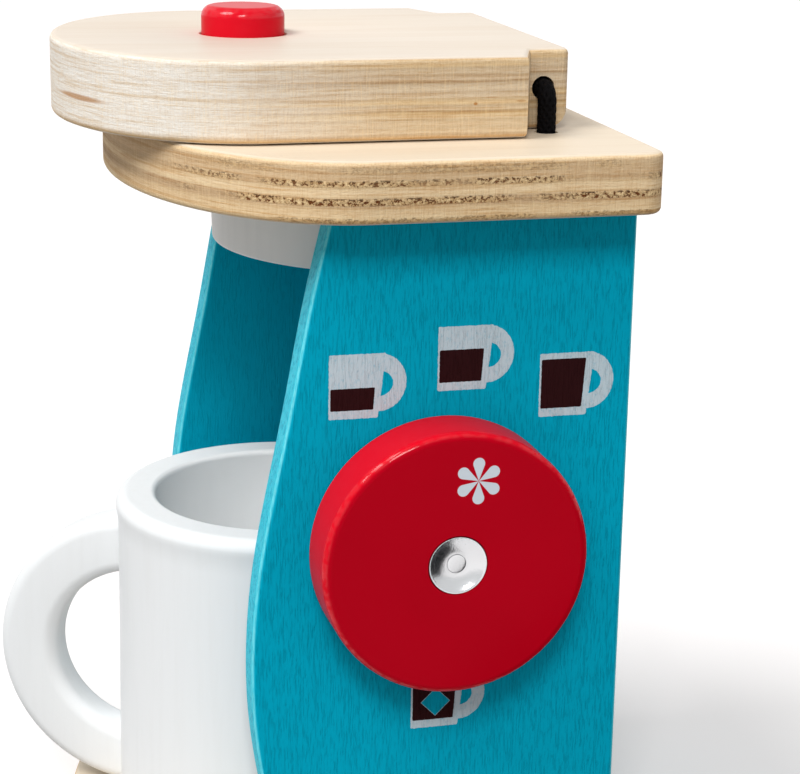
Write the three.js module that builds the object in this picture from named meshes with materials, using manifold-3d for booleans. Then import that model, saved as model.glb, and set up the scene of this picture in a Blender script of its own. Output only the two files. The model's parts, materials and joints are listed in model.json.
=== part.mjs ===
// Toy coffee maker of plywood and turned wood: two shaped side panels between a base board and
// a top board, a brew head under the top board, a lid hinged on an elastic cord, a sprung push
// button, a turning dial and a mug.
// Millimetres. X points to the dial side, Y to the rear, Z up.
// The origin is the middle of the base board's underside.
import * as THREE from 'three';
import { mergeVertices } from 'three/addons/utils/BufferGeometryUtils.js';
import Module from 'manifold-3d';

const wasm = await Module();
wasm.setup();

// Driving dimensions: boards
const boardWidth = 126.2;
const boardThickness = 12;
const boardEase = 1.2;
const boardCornerRadius = 4.5;
const baseDepth = 108.2;
const topDepth = 98.2;
const boardNose = 40.5;
const rearY = baseDepth / 2;

// Side and back panels
const panelSpan = 101.1;
const panelThickness = 7;
const panelHeight = 144;
const panelDepth = 77.1;
const panelEase = 1;
const panelRearInset = 1;
const backThickness = 6;
// Front edge of a side panel: share of its height, share of its depth
const panelEdgeShares = [
  [1, 0.799], [0.888, 0.848], [0.721, 0.906], [0.609, 0.948], [0.488, 0.986],
  [0.386, 1], [0.293, 0.996], [0.181, 0.967], [0.069, 0.921], [0, 0.888],
];

// Brew head and pod well
const headRadius = 37.8;
const headDraft = 0.4;
const headThickness = 15.5;
const headEase = 0.8;
const headCentreInset = 38.1;
const wellRadius = 17;
const wellCentreInset = 50.7;
const wellFloor = 5;
const dripRadius = 1.9;

// Lid
const lidWidth = 87.8;
const lidThickness = 15.9;
const lidRearInset = 10.2;
const lidLength = 98.8;
const lidNose = 35.6;
const lidEase = 1.2;
const tailWidth = 66;
const tailLength = 8.2;
const shoulderSlant = 3.9;
const tailCornerRadius = 1.5;
const tailHeelRadius = 4.8;
const hingeInset = 5.4;
const hingeRise = 8.1;

// Elastic cord, its bore and its end clips
const cordRadius = 1.9;
const cordBoreRadius = 2.35;
const cordElbow = 2.6;
const cordBendShare = 0.3;
const cordTail = 1.2;
const clipRadius = 3.2;
const clipHeight = 5;

// Push button, its spring and its cover
const buttonRadius = 8.55;
const buttonRise = 5.7;
const buttonEdge = 2.2;
const buttonInset = 39.2;
const flangeRadius = 10.7;
const flangeThickness = 2.5;
const lidSkin = 4;
const coverRadius = 16.8;
const coverThickness = 1.8;
const springWire = 0.35;
const springRadius = 6.5;
const springTurns = 4;
const coverScrewReach = 14;

// Dial
const dialRadius = 26.8;
const dialThickness = 12.9;
const dialEdge = 1.7;
const dialBackEdge = 0.8;
const dialCentreInset = 40.1;
const dialCentreZ = 88.5;
const cupRadius = 5.8;
const cupDepth = 2.4;
const cupWall = 0.5;
const cupHoleRadius = 1.9;

// Mug
const mugRadius = 35.4;
const mugLip = 0.5;
const mugHeight = 73.3;
const mugBoreRadius = 27.2;
const mugFloor = 9;
const mugEdge = 2.6;
const mugInnerEdge = 1.2;
const mugFillet = 5;
const mugCentreInset = 61.6;
const mugTurnDegrees = -26;
const handleThickness = 10.6;
const handleReach = 29.2;
const handleSink = 4;
const handleBand = 13;
const handleEase = 3;
const handleTopInset = 7.7;
const handleBottomInset = 0.6;

// Dowels and screws
const dowelRadius = 2;
const dowelEnd = 0.5;
const topDowelLength = 20;
const topDowelInBoard = 8;
const headDowelLength = 14;
const headDowelReach = 27;
const handleDowelLength = 13;
const handleDowelInMug = 5.5;
const woodScrewLength = 30;
const woodScrewRadius = 1.6;
const woodScrewHead = 3.4;
const smallScrewLength = 9;
const smallScrewRadius = 1;
const smallScrewHead = 2;
const dialScrewRadius = 1.5;
const dialScrewHead = 2.6;
const dialScrewHeadHeight = 1;
const nutRadius = 3.6;
const nutThickness = 3.2;
const screwTip = 2.5;
const slotWidth = 0.7;
const slotDepth = 0.6;
const woodScrewSink = 0.3;
// Fastenings of a side panel along its depth, as shares of the board it meets
const panelFasteningShares = [0.2, 0.78];

// Clearances
const fitGap = 0.1;
const runGap = 0.3;
const overrun = 2;

// Steps round a curve
const noseSteps = 28;
const handleSteps = 18;
const splineSteps = 3;
const edgeSteps = 3;
const easeSteps = 2;
const roundSteps = 40;
const smallSteps = 14;
const cordSides = 8;
const cordSteps = 56;
const springSides = 5;
const springStepsPerTurn = 8;

// Places worked out from the sizes
const baseTop = boardThickness;
const plateBottom = baseTop + panelHeight;
const plateTop = plateBottom + boardThickness;
const lidBottom = plateTop + runGap;
const lidTop = lidBottom + lidThickness;
const panelRearY = rearY - panelRearInset;
const panelMiddleX = (panelSpan - panelThickness) / 2;
const panelInnerX = panelSpan / 2 - panelThickness;
const backFrontY = panelRearY - backThickness;
const headBottom = plateBottom - headThickness;
const headCentreY = rearY - headCentreInset;
const wellCentreY = rearY - wellCentreInset;
const dialCentreY = rearY - dialCentreInset;
const mugCentreY = rearY - mugCentreInset;
const lidRearY = rearY - lidRearInset;
const lidFrontY = lidRearY - lidLength;
const buttonCentreY = lidFrontY + buttonInset;
const hingeY = lidRearY - hingeInset;
const hingeZ = lidBottom + hingeRise;
const cordLegX = tailWidth / 2 + cordElbow;
const shelfZ = lidTop - lidSkin;
const coverTop = lidBottom + coverThickness;
const coverRecess = coverThickness + fitGap;
const flangeTop = shelfZ - fitGap;
const flangeBottom = flangeTop - flangeThickness;
const handleHalfHeight = (mugHeight - handleTopInset - handleBottomInset) / 2;
const handleHoleHalfHeight = handleHalfHeight - handleBand;
const handleCentreRise = handleBottomInset + handleHalfHeight;

// Colours as photographed
const paint = {
  plywood: { color: '#e6cfa6', roughness: 0.7, metalness: 0 },
  cream: { color: '#f2e7d4', roughness: 0.6, metalness: 0 },
  teal: { color: '#0096a8', roughness: 0.5, metalness: 0 },
  red: { color: '#b00e20', roughness: 0.35, metalness: 0 },
  white: { color: '#f0f0ec', roughness: 0.4, metalness: 0 },
  beech: { color: '#d9b98a', roughness: 0.7, metalness: 0 },
  steel: { color: '#b9bcbf', roughness: 0.3, metalness: 1 },
  black: { color: '#141414', roughness: 0.9, metalness: 0 },
};

const group = new THREE.Group();

function addMesh(parent, name, geometry, finish) {
  const mesh = new THREE.Mesh(geometry, new THREE.MeshStandardMaterial(finish));
  mesh.name = name;
  parent.add(mesh);
  return mesh;
}

// Joining and cutting of closed geometries
function toSolid(geometry) {
  const bare = geometry.clone();
  bare.deleteAttribute('normal');
  bare.deleteAttribute('uv');
  const merged = mergeVertices(bare);
  return new wasm.Manifold(new wasm.Mesh({
    numProp: merged.attributes.position.itemSize,
    vertProperties: new Float32Array(merged.attributes.position.array),
    triVerts: new Uint32Array(merged.index.array),
  }));
}

function toGeometry(solid) {
  const data = solid.getMesh();
  const geometry = new THREE.BufferGeometry();
  geometry.setAttribute('position', new THREE.BufferAttribute(data.vertProperties, data.numProp));
  geometry.setIndex(new THREE.BufferAttribute(data.triVerts, 1));
  geometry.computeVertexNormals();
  return geometry;
}

function cut(geometry, cutters) {
  let solid = toSolid(geometry);
  for (const cutter of cutters) solid = solid.subtract(toSolid(cutter));
  return toGeometry(solid);
}

// Round bar from low to high along Z, X or Y
function roundBar(radius, low, high, steps = smallSteps) {
  const bar = new THREE.CylinderGeometry(radius, radius, high - low, steps);
  return bar.rotateX(Math.PI / 2).translate(0, 0, (low + high) / 2);
}

function roundBarX(radius, low, high, steps = smallSteps) {
  return roundBar(radius, low, high, steps).rotateY(Math.PI / 2);
}

function roundBarY(radius, low, high, steps = smallSteps) {
  return roundBar(radius, -high, -low, steps).rotateX(Math.PI / 2);
}

// Turned piece: profile points are radius and height
function turned(points, steps = roundSteps) {
  const profile = points.map(([radius, height]) => new THREE.Vector2(radius, height));
  return new THREE.LatheGeometry(profile, steps).rotateX(Math.PI / 2);
}

// Points of an elliptical arc about a centre, from one angle to another
function ellipsePoints(centre, radii, from, to, steps) {
  const points = [];
  for (let i = 0; i <= steps; i += 1) {
    const angle = from + ((to - from) * i) / steps;
    points.push([
      centre[0] + radii[0] * Math.cos(angle),
      centre[1] + radii[1] * Math.sin(angle),
    ]);
  }
  return points;
}

function arcPoints(centreX, centreY, radius, from, to) {
  return ellipsePoints([centreX, centreY], [radius, radius], from, to, edgeSteps);
}

function outline(points) {
  return new THREE.Shape(points.map(([x, y]) => new THREE.Vector2(x, y)));
}

// Flat piece of an outline with its two faces' edges eased
function easedSlab(shape, thickness, ease) {
  const slab = new THREE.ExtrudeGeometry(shape, {
    depth: thickness - 2 * ease,
    bevelThickness: ease,
    bevelSize: ease,
    bevelOffset: -ease,
    bevelSegments: easeSteps,
    curveSegments: splineSteps,
  });
  return slab.translate(0, 0, ease);
}

// Outline of a board: flat rear with round corners, straight sides, half an ellipse in front
function boardShape(width, depth) {
  const side = width / 2;
  const noseY = rearY - depth + boardNose;
  const cornerX = side - boardCornerRadius;
  const cornerY = rearY - boardCornerRadius;
  return outline([
    ...arcPoints(cornerX, cornerY, boardCornerRadius, 0, Math.PI / 2),
    ...arcPoints(-cornerX, cornerY, boardCornerRadius, Math.PI / 2, Math.PI),
    ...ellipsePoints([0, noseY], [side, boardNose], Math.PI, 2 * Math.PI, noseSteps),
  ]);
}

// Places along the depth where a side panel is fastened to base and top board
const fasteningYs = panelFasteningShares.map(
  (share) => panelRearY - share * panelDepth * panelEdgeShares[0][1],
);
const fasteningPlaces = [];
for (const side of [-1, 1]) {
  for (const y of fasteningYs) fasteningPlaces.push([side * panelMiddleX, y]);
}

// Countersunk screw standing on its head: the head's face at height zero, the tip up
function screwProfile(length, radius, head) {
  return [[0, 0], [head, 0], [radius, head - radius], [radius, length - screwTip], [0, length]];
}

function screwHole(length, radius, head) {
  const wide = radius + fitGap;
  return turned([
    [0, -overrun], [head + fitGap, -overrun], [head + fitGap, 0],
    [wide, head - radius], [wide, length + fitGap], [0, length + fitGap],
  ], smallSteps);
}

function slottedScrew(length, radius, head) {
  const slot = new THREE.BoxGeometry(2 * (head + overrun), slotWidth, 2 * slotDepth);
  return cut(turned(screwProfile(length, radius, head), smallSteps), [slot]);
}

function dowel(length) {
  const shoulder = dowelRadius - dowelEnd;
  return turned([
    [0, 0], [shoulder, 0], [dowelRadius, dowelEnd],
    [dowelRadius, length - dowelEnd], [shoulder, length], [0, length],
  ], smallSteps);
}

function dowelHole(low, high) {
  return roundBar(dowelRadius + fitGap, low - fitGap, high + fitGap);
}

function buildBase() {
  const holes = fasteningPlaces.map(([x, y]) => (
    screwHole(woodScrewLength, woodScrewRadius, woodScrewHead).translate(x, y, woodScrewSink)
  ));
  const slab = easedSlab(boardShape(boardWidth, baseDepth), boardThickness, boardEase);
  addMesh(group, 'base_plate', cut(slab, holes), paint.plywood);
  fasteningPlaces.forEach(([x, y], i) => {
    const screw = slottedScrew(woodScrewLength, woodScrewRadius, woodScrewHead);
    const mesh = addMesh(group, `base_screw_${i + 1}`, screw, paint.steel);
    mesh.position.set(x, y, woodScrewSink);
  });
}

// Side panel outline in depth and height, with the curved front edge
function panelShape() {
  const front = panelEdgeShares.map(([heightShare, depthShare]) => new THREE.Vector2(
    panelRearY - depthShare * panelDepth,
    baseTop + heightShare * panelHeight,
  ));
  const shape = new THREE.Shape();
  shape.moveTo(panelRearY, baseTop);
  shape.lineTo(panelRearY, plateBottom);
  shape.lineTo(front[0].x, front[0].y);
  shape.splineThru(front.slice(1));
  return shape;
}

function buildSidePanels() {
  for (const side of [-1, 1]) {
    const slab = easedSlab(panelShape(), panelThickness, panelEase)
      .rotateX(Math.PI / 2)
      .rotateZ(Math.PI / 2)
      .translate(side * panelMiddleX - panelThickness / 2, 0, 0);
    const cutters = [];
    for (const y of fasteningYs) {
      const x = side * panelMiddleX;
      const pilot = screwHole(woodScrewLength, woodScrewRadius, woodScrewHead);
      cutters.push(pilot.translate(x, y, woodScrewSink));
      const dowelLow = plateBottom - topDowelLength + topDowelInBoard;
      cutters.push(dowelHole(dowelLow, plateBottom + overrun).translate(x, y, 0));
    }
    if (side > 0) {
      const bore = roundBarX(dialScrewRadius + fitGap, panelInnerX - overrun, panelSpan / 2 + overrun);
      cutters.push(bore.translate(0, dialCentreY, dialCentreZ));
    }
    const name = side > 0 ? 'right_side_panel' : 'left_side_panel';
    addMesh(group, name, cut(slab, cutters), paint.teal);
  }
}

function buildBackPanel() {
  const board = new THREE.BoxGeometry(2 * panelInnerX, backThickness, panelHeight);
  const mesh = addMesh(group, 'back_panel', board, paint.teal);
  mesh.position.set(0, panelRearY - backThickness / 2, baseTop + panelHeight / 2);
}

function buildTopPlate() {
  const slab = easedSlab(boardShape(boardWidth, topDepth), boardThickness, boardEase)
    .translate(0, 0, plateBottom);
  const low = plateBottom - overrun;
  const high = plateTop + overrun;
  const cutters = [roundBar(wellRadius, low, high, roundSteps).translate(0, wellCentreY, 0)];
  for (const side of [-1, 1]) {
    cutters.push(roundBar(cordBoreRadius, low, high).translate(side * cordLegX, hingeY, 0));
    const headDowelTop = plateBottom + headDowelLength / 2;
    cutters.push(dowelHole(low, headDowelTop).translate(side * headDowelReach, headCentreY, 0));
  }
  for (const [x, y] of fasteningPlaces) {
    cutters.push(dowelHole(low, plateBottom + topDowelInBoard).translate(x, y, 0));
  }
  addMesh(group, 'top_plate', cut(slab, cutters), paint.plywood);
  fasteningPlaces.forEach(([x, y], i) => {
    const mesh = addMesh(group, `top_dowel_${i + 1}`, dowel(topDowelLength), paint.beech);
    mesh.position.set(x, y, plateBottom + topDowelInBoard - topDowelLength);
  });
}

// Turned head under the top board, cut flat where it meets the back panel
function buildBrewHead() {
  const drop = headThickness;
  const body = turned([
    [0, 0],
    ...arcPoints(headRadius - headEase, headEase, headEase, -Math.PI / 2, 0),
    [headRadius + headDraft, drop],
    [0, drop],
  ]).translate(0, headCentreY, headBottom);
  const behind = headCentreY + headRadius + overrun - backFrontY;
  const trim = new THREE.BoxGeometry(2 * (headRadius + overrun), behind, drop + 2 * overrun)
    .translate(0, backFrontY + behind / 2, headBottom + drop / 2);
  const well = roundBar(wellRadius, headBottom + wellFloor, plateTop, roundSteps)
    .translate(0, wellCentreY, 0);
  const drip = roundBar(dripRadius, headBottom - overrun, plateTop)
    .translate(0, wellCentreY, 0);
  const low = plateBottom - headDowelLength / 2;
  const holes = [-1, 1].map((side) => (
    dowelHole(low, plateTop).translate(side * headDowelReach, headCentreY, 0)
  ));
  addMesh(group, 'brew_head', cut(body, [trim, well, drip, ...holes]), paint.white);
  [-1, 1].forEach((side, i) => {
    const mesh = addMesh(group, `head_dowel_${i + 1}`, dowel(headDowelLength), paint.beech);
    mesh.position.set(side * headDowelReach, headCentreY, low);
  });
}

// Lid outline: narrow tail at the rear between slanted shoulders, half an ellipse in front
function lidShape() {
  const side = lidWidth / 2;
  const tail = tailWidth / 2;
  const noseY = lidFrontY + lidNose;
  const innerY = lidRearY - tailLength;
  const cornerX = tail - tailCornerRadius;
  const cornerY = lidRearY - tailCornerRadius;
  return outline([
    [side, innerY - shoulderSlant],
    [tail, innerY],
    ...arcPoints(cornerX, cornerY, tailCornerRadius, 0, Math.PI / 2),
    ...arcPoints(-cornerX, cornerY, tailCornerRadius, Math.PI / 2, Math.PI),
    [-tail, innerY],
    [-side, innerY - shoulderSlant],
    ...ellipsePoints([0, noseY], [side, lidNose], Math.PI, 2 * Math.PI, noseSteps),
  ]);
}

// What the round heel takes off the tail's lower rear edge
function heelCutter() {
  const centreY = lidRearY - tailHeelRadius;
  const centreZ = lidBottom + tailHeelRadius;
  const corner = outline([
    [centreY, lidBottom - overrun],
    [lidRearY + overrun, lidBottom - overrun],
    [lidRearY + overrun, centreZ],
    ...arcPoints(centreY, centreZ, tailHeelRadius, 0, -Math.PI / 2),
  ]);
  const width = lidWidth + overrun;
  return new THREE.ExtrudeGeometry(corner, { depth: width, bevelEnabled: false })
    .rotateX(Math.PI / 2)
    .rotateZ(Math.PI / 2)
    .translate(-width / 2, 0, 0);
}

function buildLid() {
  const slab = easedSlab(lidShape(), lidThickness, lidEase).translate(0, 0, lidBottom);
  const bore = roundBarX(cordBoreRadius, -lidWidth, lidWidth).translate(0, hingeY, hingeZ);
  const guide = roundBar(buttonRadius + runGap, lidBottom, lidTop + overrun, roundSteps);
  const pocket = roundBar(flangeRadius + runGap, lidBottom - overrun, shelfZ, roundSteps);
  const recess = roundBar(coverRadius + fitGap, lidBottom - overrun, lidBottom + coverRecess, roundSteps);
  const pilots = [-1, 1].map((side) => (
    screwHole(smallScrewLength, smallScrewRadius, smallScrewHead)
      .translate(side * coverScrewReach, 0, lidBottom)
  ));
  const works = [guide, pocket, recess, ...pilots];
  for (const cutter of works) cutter.translate(0, buttonCentreY, 0);
  addMesh(group, 'lid', cut(slab, [bore, heelCutter(), ...works]), paint.cream);
}

function buildButton() {
  const top = lidTop + buttonRise;
  const button = turned([
    [0, flangeBottom],
    [flangeRadius, flangeBottom],
    [flangeRadius, flangeTop],
    [buttonRadius, flangeTop],
    ...arcPoints(buttonRadius - buttonEdge, top - buttonEdge, buttonEdge, 0, Math.PI / 2),
    [0, top],
  ]);
  addMesh(group, 'push_button', button, paint.red).position.y = buttonCentreY;
  const disc = roundBar(coverRadius, lidBottom, coverTop, roundSteps);
  const holes = [-1, 1].map((side) => (
    screwHole(smallScrewLength, smallScrewRadius, smallScrewHead)
      .translate(side * coverScrewReach, 0, lidBottom)
  ));
  addMesh(group, 'button_cover', cut(disc, holes), paint.beech).position.y = buttonCentreY;
  [-1, 1].forEach((side, i) => {
    const screw = slottedScrew(smallScrewLength, smallScrewRadius, smallScrewHead);
    const mesh = addMesh(group, `cover_screw_${i + 1}`, screw, paint.steel);
    mesh.position.set(side * coverScrewReach, buttonCentreY, lidBottom);
  });
}

// Section for a tube: a regular polygon of the given radius
function tubeShape(radius, sides) {
  const corners = [];
  for (let i = 0; i < sides; i += 1) {
    const angle = (2 * Math.PI * i) / sides;
    corners.push(new THREE.Vector2(radius * Math.cos(angle), radius * Math.sin(angle)));
  }
  return new THREE.Shape(corners);
}

// Helix of the spring between the cover and the button's flange
class SpringCurve extends THREE.Curve {
  getPoint(t, target = new THREE.Vector3()) {
    const angle = 2 * Math.PI * springTurns * t;
    const low = coverTop + springWire + fitGap;
    const high = flangeBottom - springWire - fitGap;
    return target.set(
      springRadius * Math.cos(angle),
      springRadius * Math.sin(angle),
      low + (high - low) * t,
    );
  }
}

// Least space between neighbouring turns, measured on points one turn apart
function springGap(curve) {
  const turnShare = 1 / springTurns;
  let least = Infinity;
  for (let i = 0; i <= roundSteps; i += 1) {
    const t = ((1 - turnShare) * i) / roundSteps;
    least = Math.min(least, curve.getPoint(t).distanceTo(curve.getPoint(t + turnShare)));
  }
  return least - 2 * springWire;
}

function buildSpring() {
  const curve = new SpringCurve();
  const coil = new THREE.ExtrudeGeometry(tubeShape(springWire, springSides), {
    extrudePath: curve,
    steps: springTurns * springStepsPerTurn,
  });
  console.log(`button spring: least gap between turns ${springGap(curve).toFixed(2)} mm`);
  addMesh(group, 'button_spring', coil, paint.steel).position.y = buttonCentreY;
}

// Route of the elastic: up through the board, across in the tail's bore and down again
const cordEndZ = plateBottom - runGap - clipHeight - cordTail;
const cordLeg = [
  [cordLegX, hingeY, cordEndZ],
  [cordLegX, hingeY, plateBottom],
  [cordLegX, hingeY, plateTop],
  [cordLegX, hingeY, hingeZ - cordElbow],
  [cordLegX - cordBendShare * cordElbow, hingeY, hingeZ - cordBendShare * cordElbow],
  [tailWidth / 2, hingeY, hingeZ],
  [tailWidth / 2 - cordElbow, hingeY, hingeZ],
];

function buildCord() {
  const right = cordLeg.map(([x, y, z]) => new THREE.Vector3(x, y, z));
  const left = cordLeg.map(([x, y, z]) => new THREE.Vector3(-x, y, z)).reverse();
  const curve = new THREE.CatmullRomCurve3([...right, new THREE.Vector3(0, hingeY, hingeZ), ...left]);
  const cord = new THREE.ExtrudeGeometry(tubeShape(cordRadius, cordSides), {
    extrudePath: curve,
    steps: cordSteps,
  });
  console.log(`elastic cord: ${curve.getLength().toFixed(1)} mm long`);
  addMesh(group, 'hinge_cord', cord, paint.black);
  const inner = cordRadius + fitGap;
  for (const [name, x] of [['cord_clip_left', -cordLegX], ['cord_clip_right', cordLegX]]) {
    const clip = turned([
      [inner, 0], [clipRadius, 0], [clipRadius, clipHeight], [inner, clipHeight], [inner, 0],
    ], smallSteps);
    addMesh(group, name, clip, paint.steel).position.set(x, hingeY, cordEndZ + cordTail);
  }
}

// Dial on the right side panel: its own axis is turned to point out along X
function buildDial() {
  const dial = new THREE.Group();
  dial.position.set(panelSpan / 2 + runGap, dialCentreY, dialCentreZ);
  dial.rotation.y = Math.PI / 2;
  group.add(dial);
  const seat = cupRadius + fitGap;
  const seatFloor = dialThickness - cupDepth - cupWall - fitGap;
  const bore = dialScrewRadius + runGap;
  addMesh(dial, 'dial_knob', turned([
    [bore, 0],
    ...arcPoints(dialRadius - dialBackEdge, dialBackEdge, dialBackEdge, -Math.PI / 2, 0),
    ...arcPoints(dialRadius - dialEdge, dialThickness - dialEdge, dialEdge, 0, Math.PI / 2),
    [seat, dialThickness],
    [seat, seatFloor],
    [bore, seatFloor],
    [bore, 0],
  ]), paint.red);
  addMesh(dial, 'dial_cup_washer', turned(cupProfile(seatFloor + fitGap)), paint.steel);
  const washerTop = seatFloor + fitGap + cupWall + runGap;
  const backReach = runGap + panelThickness + runGap + nutThickness;
  addMesh(dial, 'dial_screw', turned([
    [0, -backReach],
    [dialScrewRadius, -backReach],
    [dialScrewRadius, washerTop],
    [dialScrewHead, washerTop],
    ...ellipsePoints([0, washerTop], [dialScrewHead, dialScrewHeadHeight], 0, Math.PI / 2, edgeSteps)
      .slice(1, -1),
    [0, washerTop + dialScrewHeadHeight],
  ], smallSteps), paint.steel);
  addMesh(dial, 'dial_nut', nutGeometry(-backReach), paint.steel);
}

// Concave dish with a flat middle for the screw head, flush with the dial's face
function cupProfile(low) {
  const flat = dialScrewHead + fitGap;
  const rim = low + cupWall + cupDepth;
  return [
    [cupHoleRadius, low],
    [cupRadius, low],
    [cupRadius, rim],
    [cupRadius - cupWall, rim],
    [(flat + cupRadius) / 2, low + cupWall + cupDepth / 4],
    [flat, low + cupWall],
    [cupHoleRadius, low + cupWall],
    [cupHoleRadius, low],
  ];
}

function nutGeometry(low) {
  const outline = tubeShape(nutRadius, 6);
  const hole = new THREE.Path();
  hole.absarc(0, 0, dialScrewRadius + fitGap, 0, 2 * Math.PI);
  outline.holes.push(hole);
  return new THREE.ExtrudeGeometry(outline, {
    depth: nutThickness,
    bevelEnabled: false,
    curveSegments: smallSteps / 2,
  }).translate(0, 0, low);
}

// Turned mug with a rolled lip, a straight bore and a filleted floor
function mugProfile() {
  const lipRadius = mugRadius + mugLip;
  return [
    [0, 0],
    ...arcPoints(lipRadius - mugEdge / 2, mugEdge / 2, mugEdge / 2, -Math.PI / 2, 0),
    [mugRadius, mugHeight - 3 * mugEdge],
    ...arcPoints(lipRadius - mugEdge, mugHeight - mugEdge, mugEdge, 0, Math.PI / 2),
    ...arcPoints(mugBoreRadius + mugInnerEdge, mugHeight - mugInnerEdge, mugInnerEdge,
      Math.PI / 2, Math.PI),
    ...arcPoints(mugBoreRadius - mugFillet, mugFloor + mugFillet, mugFillet, 0, -Math.PI / 2),
    [0, mugFloor],
  ];
}

// Ring handle seen from the side: an even band whose centre lies inside the mug's wall
function handleShape() {
  const centreY = handleSink - mugRadius;
  const rootY = centreY + 2 * handleEase;
  const outer = [handleSink + handleReach, handleHalfHeight];
  const inner = [outer[0] - handleBand, handleHoleHalfHeight];
  return outline([
    [rootY, handleHalfHeight],
    ...ellipsePoints([centreY, 0], outer, Math.PI / 2, 1.5 * Math.PI, handleSteps),
    [rootY, -handleHalfHeight],
    [rootY, -handleHoleHalfHeight],
    ...ellipsePoints([centreY, 0], inner, 1.5 * Math.PI, Math.PI / 2, handleSteps),
    [rootY, handleHoleHalfHeight],
  ]);
}

// The mug stands loose on the base, turned so that its handle points to the front and the left
function buildMug() {
  const mug = new THREE.Group();
  mug.position.set(0, mugCentreY, baseTop);
  mug.rotation.z = THREE.MathUtils.degToRad(mugTurnDegrees);
  group.add(mug);
  const rise = (handleHalfHeight + handleHoleHalfHeight) / 2;
  const dowelInner = -mugRadius + handleDowelInMug;
  const dowelOuter = dowelInner - handleDowelLength;
  const dowelZs = [handleCentreRise - rise, handleCentreRise + rise];
  const holes = dowelZs.map((z) => (
    roundBarY(dowelRadius + fitGap, dowelOuter - fitGap, dowelInner + fitGap).translate(0, 0, z)
  ));
  addMesh(mug, 'mug_body', cut(turned(mugProfile()), holes), paint.white);
  const ring = easedSlab(handleShape(), handleThickness, handleEase)
    .rotateX(Math.PI / 2)
    .rotateZ(Math.PI / 2)
    .translate(-handleThickness / 2, 0, handleCentreRise);
  const cope = roundBar(mugRadius + mugLip + runGap, -mugHeight, 2 * mugHeight, roundSteps);
  addMesh(mug, 'mug_handle', cut(ring, [cope, ...holes]), paint.white);
  for (const [i, name] of ['handle_dowel_lower', 'handle_dowel_upper'].entries()) {
    const mesh = addMesh(mug, name, dowel(handleDowelLength).rotateX(Math.PI / 2), paint.beech);
    mesh.position.set(0, dowelInner, dowelZs[i]);
  }
}

buildBase();
buildSidePanels();
buildBackPanel();
buildTopPlate();
buildBrewHead();
buildLid();
buildButton();
buildSpring();
buildCord();
buildDial();
buildMug();

export default group;
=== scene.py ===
# %% [markdown]
# # A toy coffee maker of plywood and turned wood
# The toy is a base board, two painted side panels with a back panel between them, a top board
# with a turned brew head under it, a lid on a hinge of elastic cord, a sprung button, a dial
# and a mug. Its solids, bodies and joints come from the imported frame. This script gives each
# visible piece the smooth shape and the finish of the real toy, and lets it ride on its body.

# %% Load the frame
import json
import math

import bpy
import numpy as np
from mathutils import Matrix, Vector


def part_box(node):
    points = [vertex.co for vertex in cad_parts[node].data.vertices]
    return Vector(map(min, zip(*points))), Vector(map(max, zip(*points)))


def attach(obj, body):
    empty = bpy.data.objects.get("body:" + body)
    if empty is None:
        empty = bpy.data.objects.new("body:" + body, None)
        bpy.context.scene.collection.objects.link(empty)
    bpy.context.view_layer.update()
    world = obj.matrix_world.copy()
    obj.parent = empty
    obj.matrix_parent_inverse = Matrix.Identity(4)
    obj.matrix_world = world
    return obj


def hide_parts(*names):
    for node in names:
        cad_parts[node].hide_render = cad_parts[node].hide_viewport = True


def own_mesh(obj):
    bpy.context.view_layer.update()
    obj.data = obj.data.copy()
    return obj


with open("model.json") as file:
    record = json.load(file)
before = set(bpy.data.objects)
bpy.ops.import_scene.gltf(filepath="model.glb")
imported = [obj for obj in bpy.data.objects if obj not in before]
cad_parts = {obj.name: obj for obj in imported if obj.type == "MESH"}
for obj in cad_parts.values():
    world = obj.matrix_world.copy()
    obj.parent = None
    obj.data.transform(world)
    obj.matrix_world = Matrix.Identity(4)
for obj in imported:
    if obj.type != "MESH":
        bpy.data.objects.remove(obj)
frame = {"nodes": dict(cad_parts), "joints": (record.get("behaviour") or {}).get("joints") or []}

MM, QUARTER = 0.001, math.pi / 2
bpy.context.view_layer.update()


class Room:
    """The box of a CAD node in millimetres. Left is low x, front is low y and foot is low z."""

    def __init__(self, node):
        low, high = (np.array(corner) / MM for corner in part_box(node))
        (self.left, self.front, self.foot), (self.right, self.rear, self.top) = low, high
        self.size, self.middle = high - low, (low + high) / 2
        self.radius = self.size[0] / 2


# %% [markdown]
# ## The camera
# The photograph was taken from the front right, a little above the lid, through a long lens.
# A camera could be turned by eye until the outlines meet. Here its place and its three angles
# were worked out from the straight edges and the ellipses of the boards, so they are numbers.
# Yaw turns it towards the rear, pitch tips it down and roll leans it over by one degree.

# %% Place the camera
camera_place = (0.44772, -0.10305, 0.23732)
yaw, pitch, roll = 0.26629, 0.27461, 0.01735
focal_pixels, image_width, sensor_width = 2200.85, 800, 36

forward = np.array([
    -math.cos(pitch) * math.cos(yaw), math.cos(pitch) * math.sin(yaw), -math.sin(pitch)])
level = np.array([math.sin(yaw), math.cos(yaw), 0])
upright = np.cross(level, forward)
right = math.cos(roll) * level + math.sin(roll) * upright
up = math.cos(roll) * upright - math.sin(roll) * level

lens = bpy.data.cameras.new("camera")
lens.sensor_width = sensor_width
lens.lens = sensor_width * focal_pixels / image_width
lens.clip_start, lens.clip_end = 0.01, 50
camera = bpy.data.objects.new("camera", lens)
bpy.context.scene.collection.objects.link(camera)
camera.matrix_world = (
    Matrix.Translation(camera_place) @ Matrix(np.column_stack([right, up, -forward]).tolist()).to_4x4()
)
bpy.context.scene.camera = camera
print("lens in mm:", round(lens.lens, 1))


# %% [markdown]
# ## Nodes as sums
# A material is a graph, and a graph built one node at a time is long to read. A small class
# wraps a socket, so that a sum in Python adds the Math nodes for it. One method makes every
# other node from its type, its settings and its inputs, and takes a colour as a screen shows
# it, from 0 to 255. Places are in millimetres.

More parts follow.
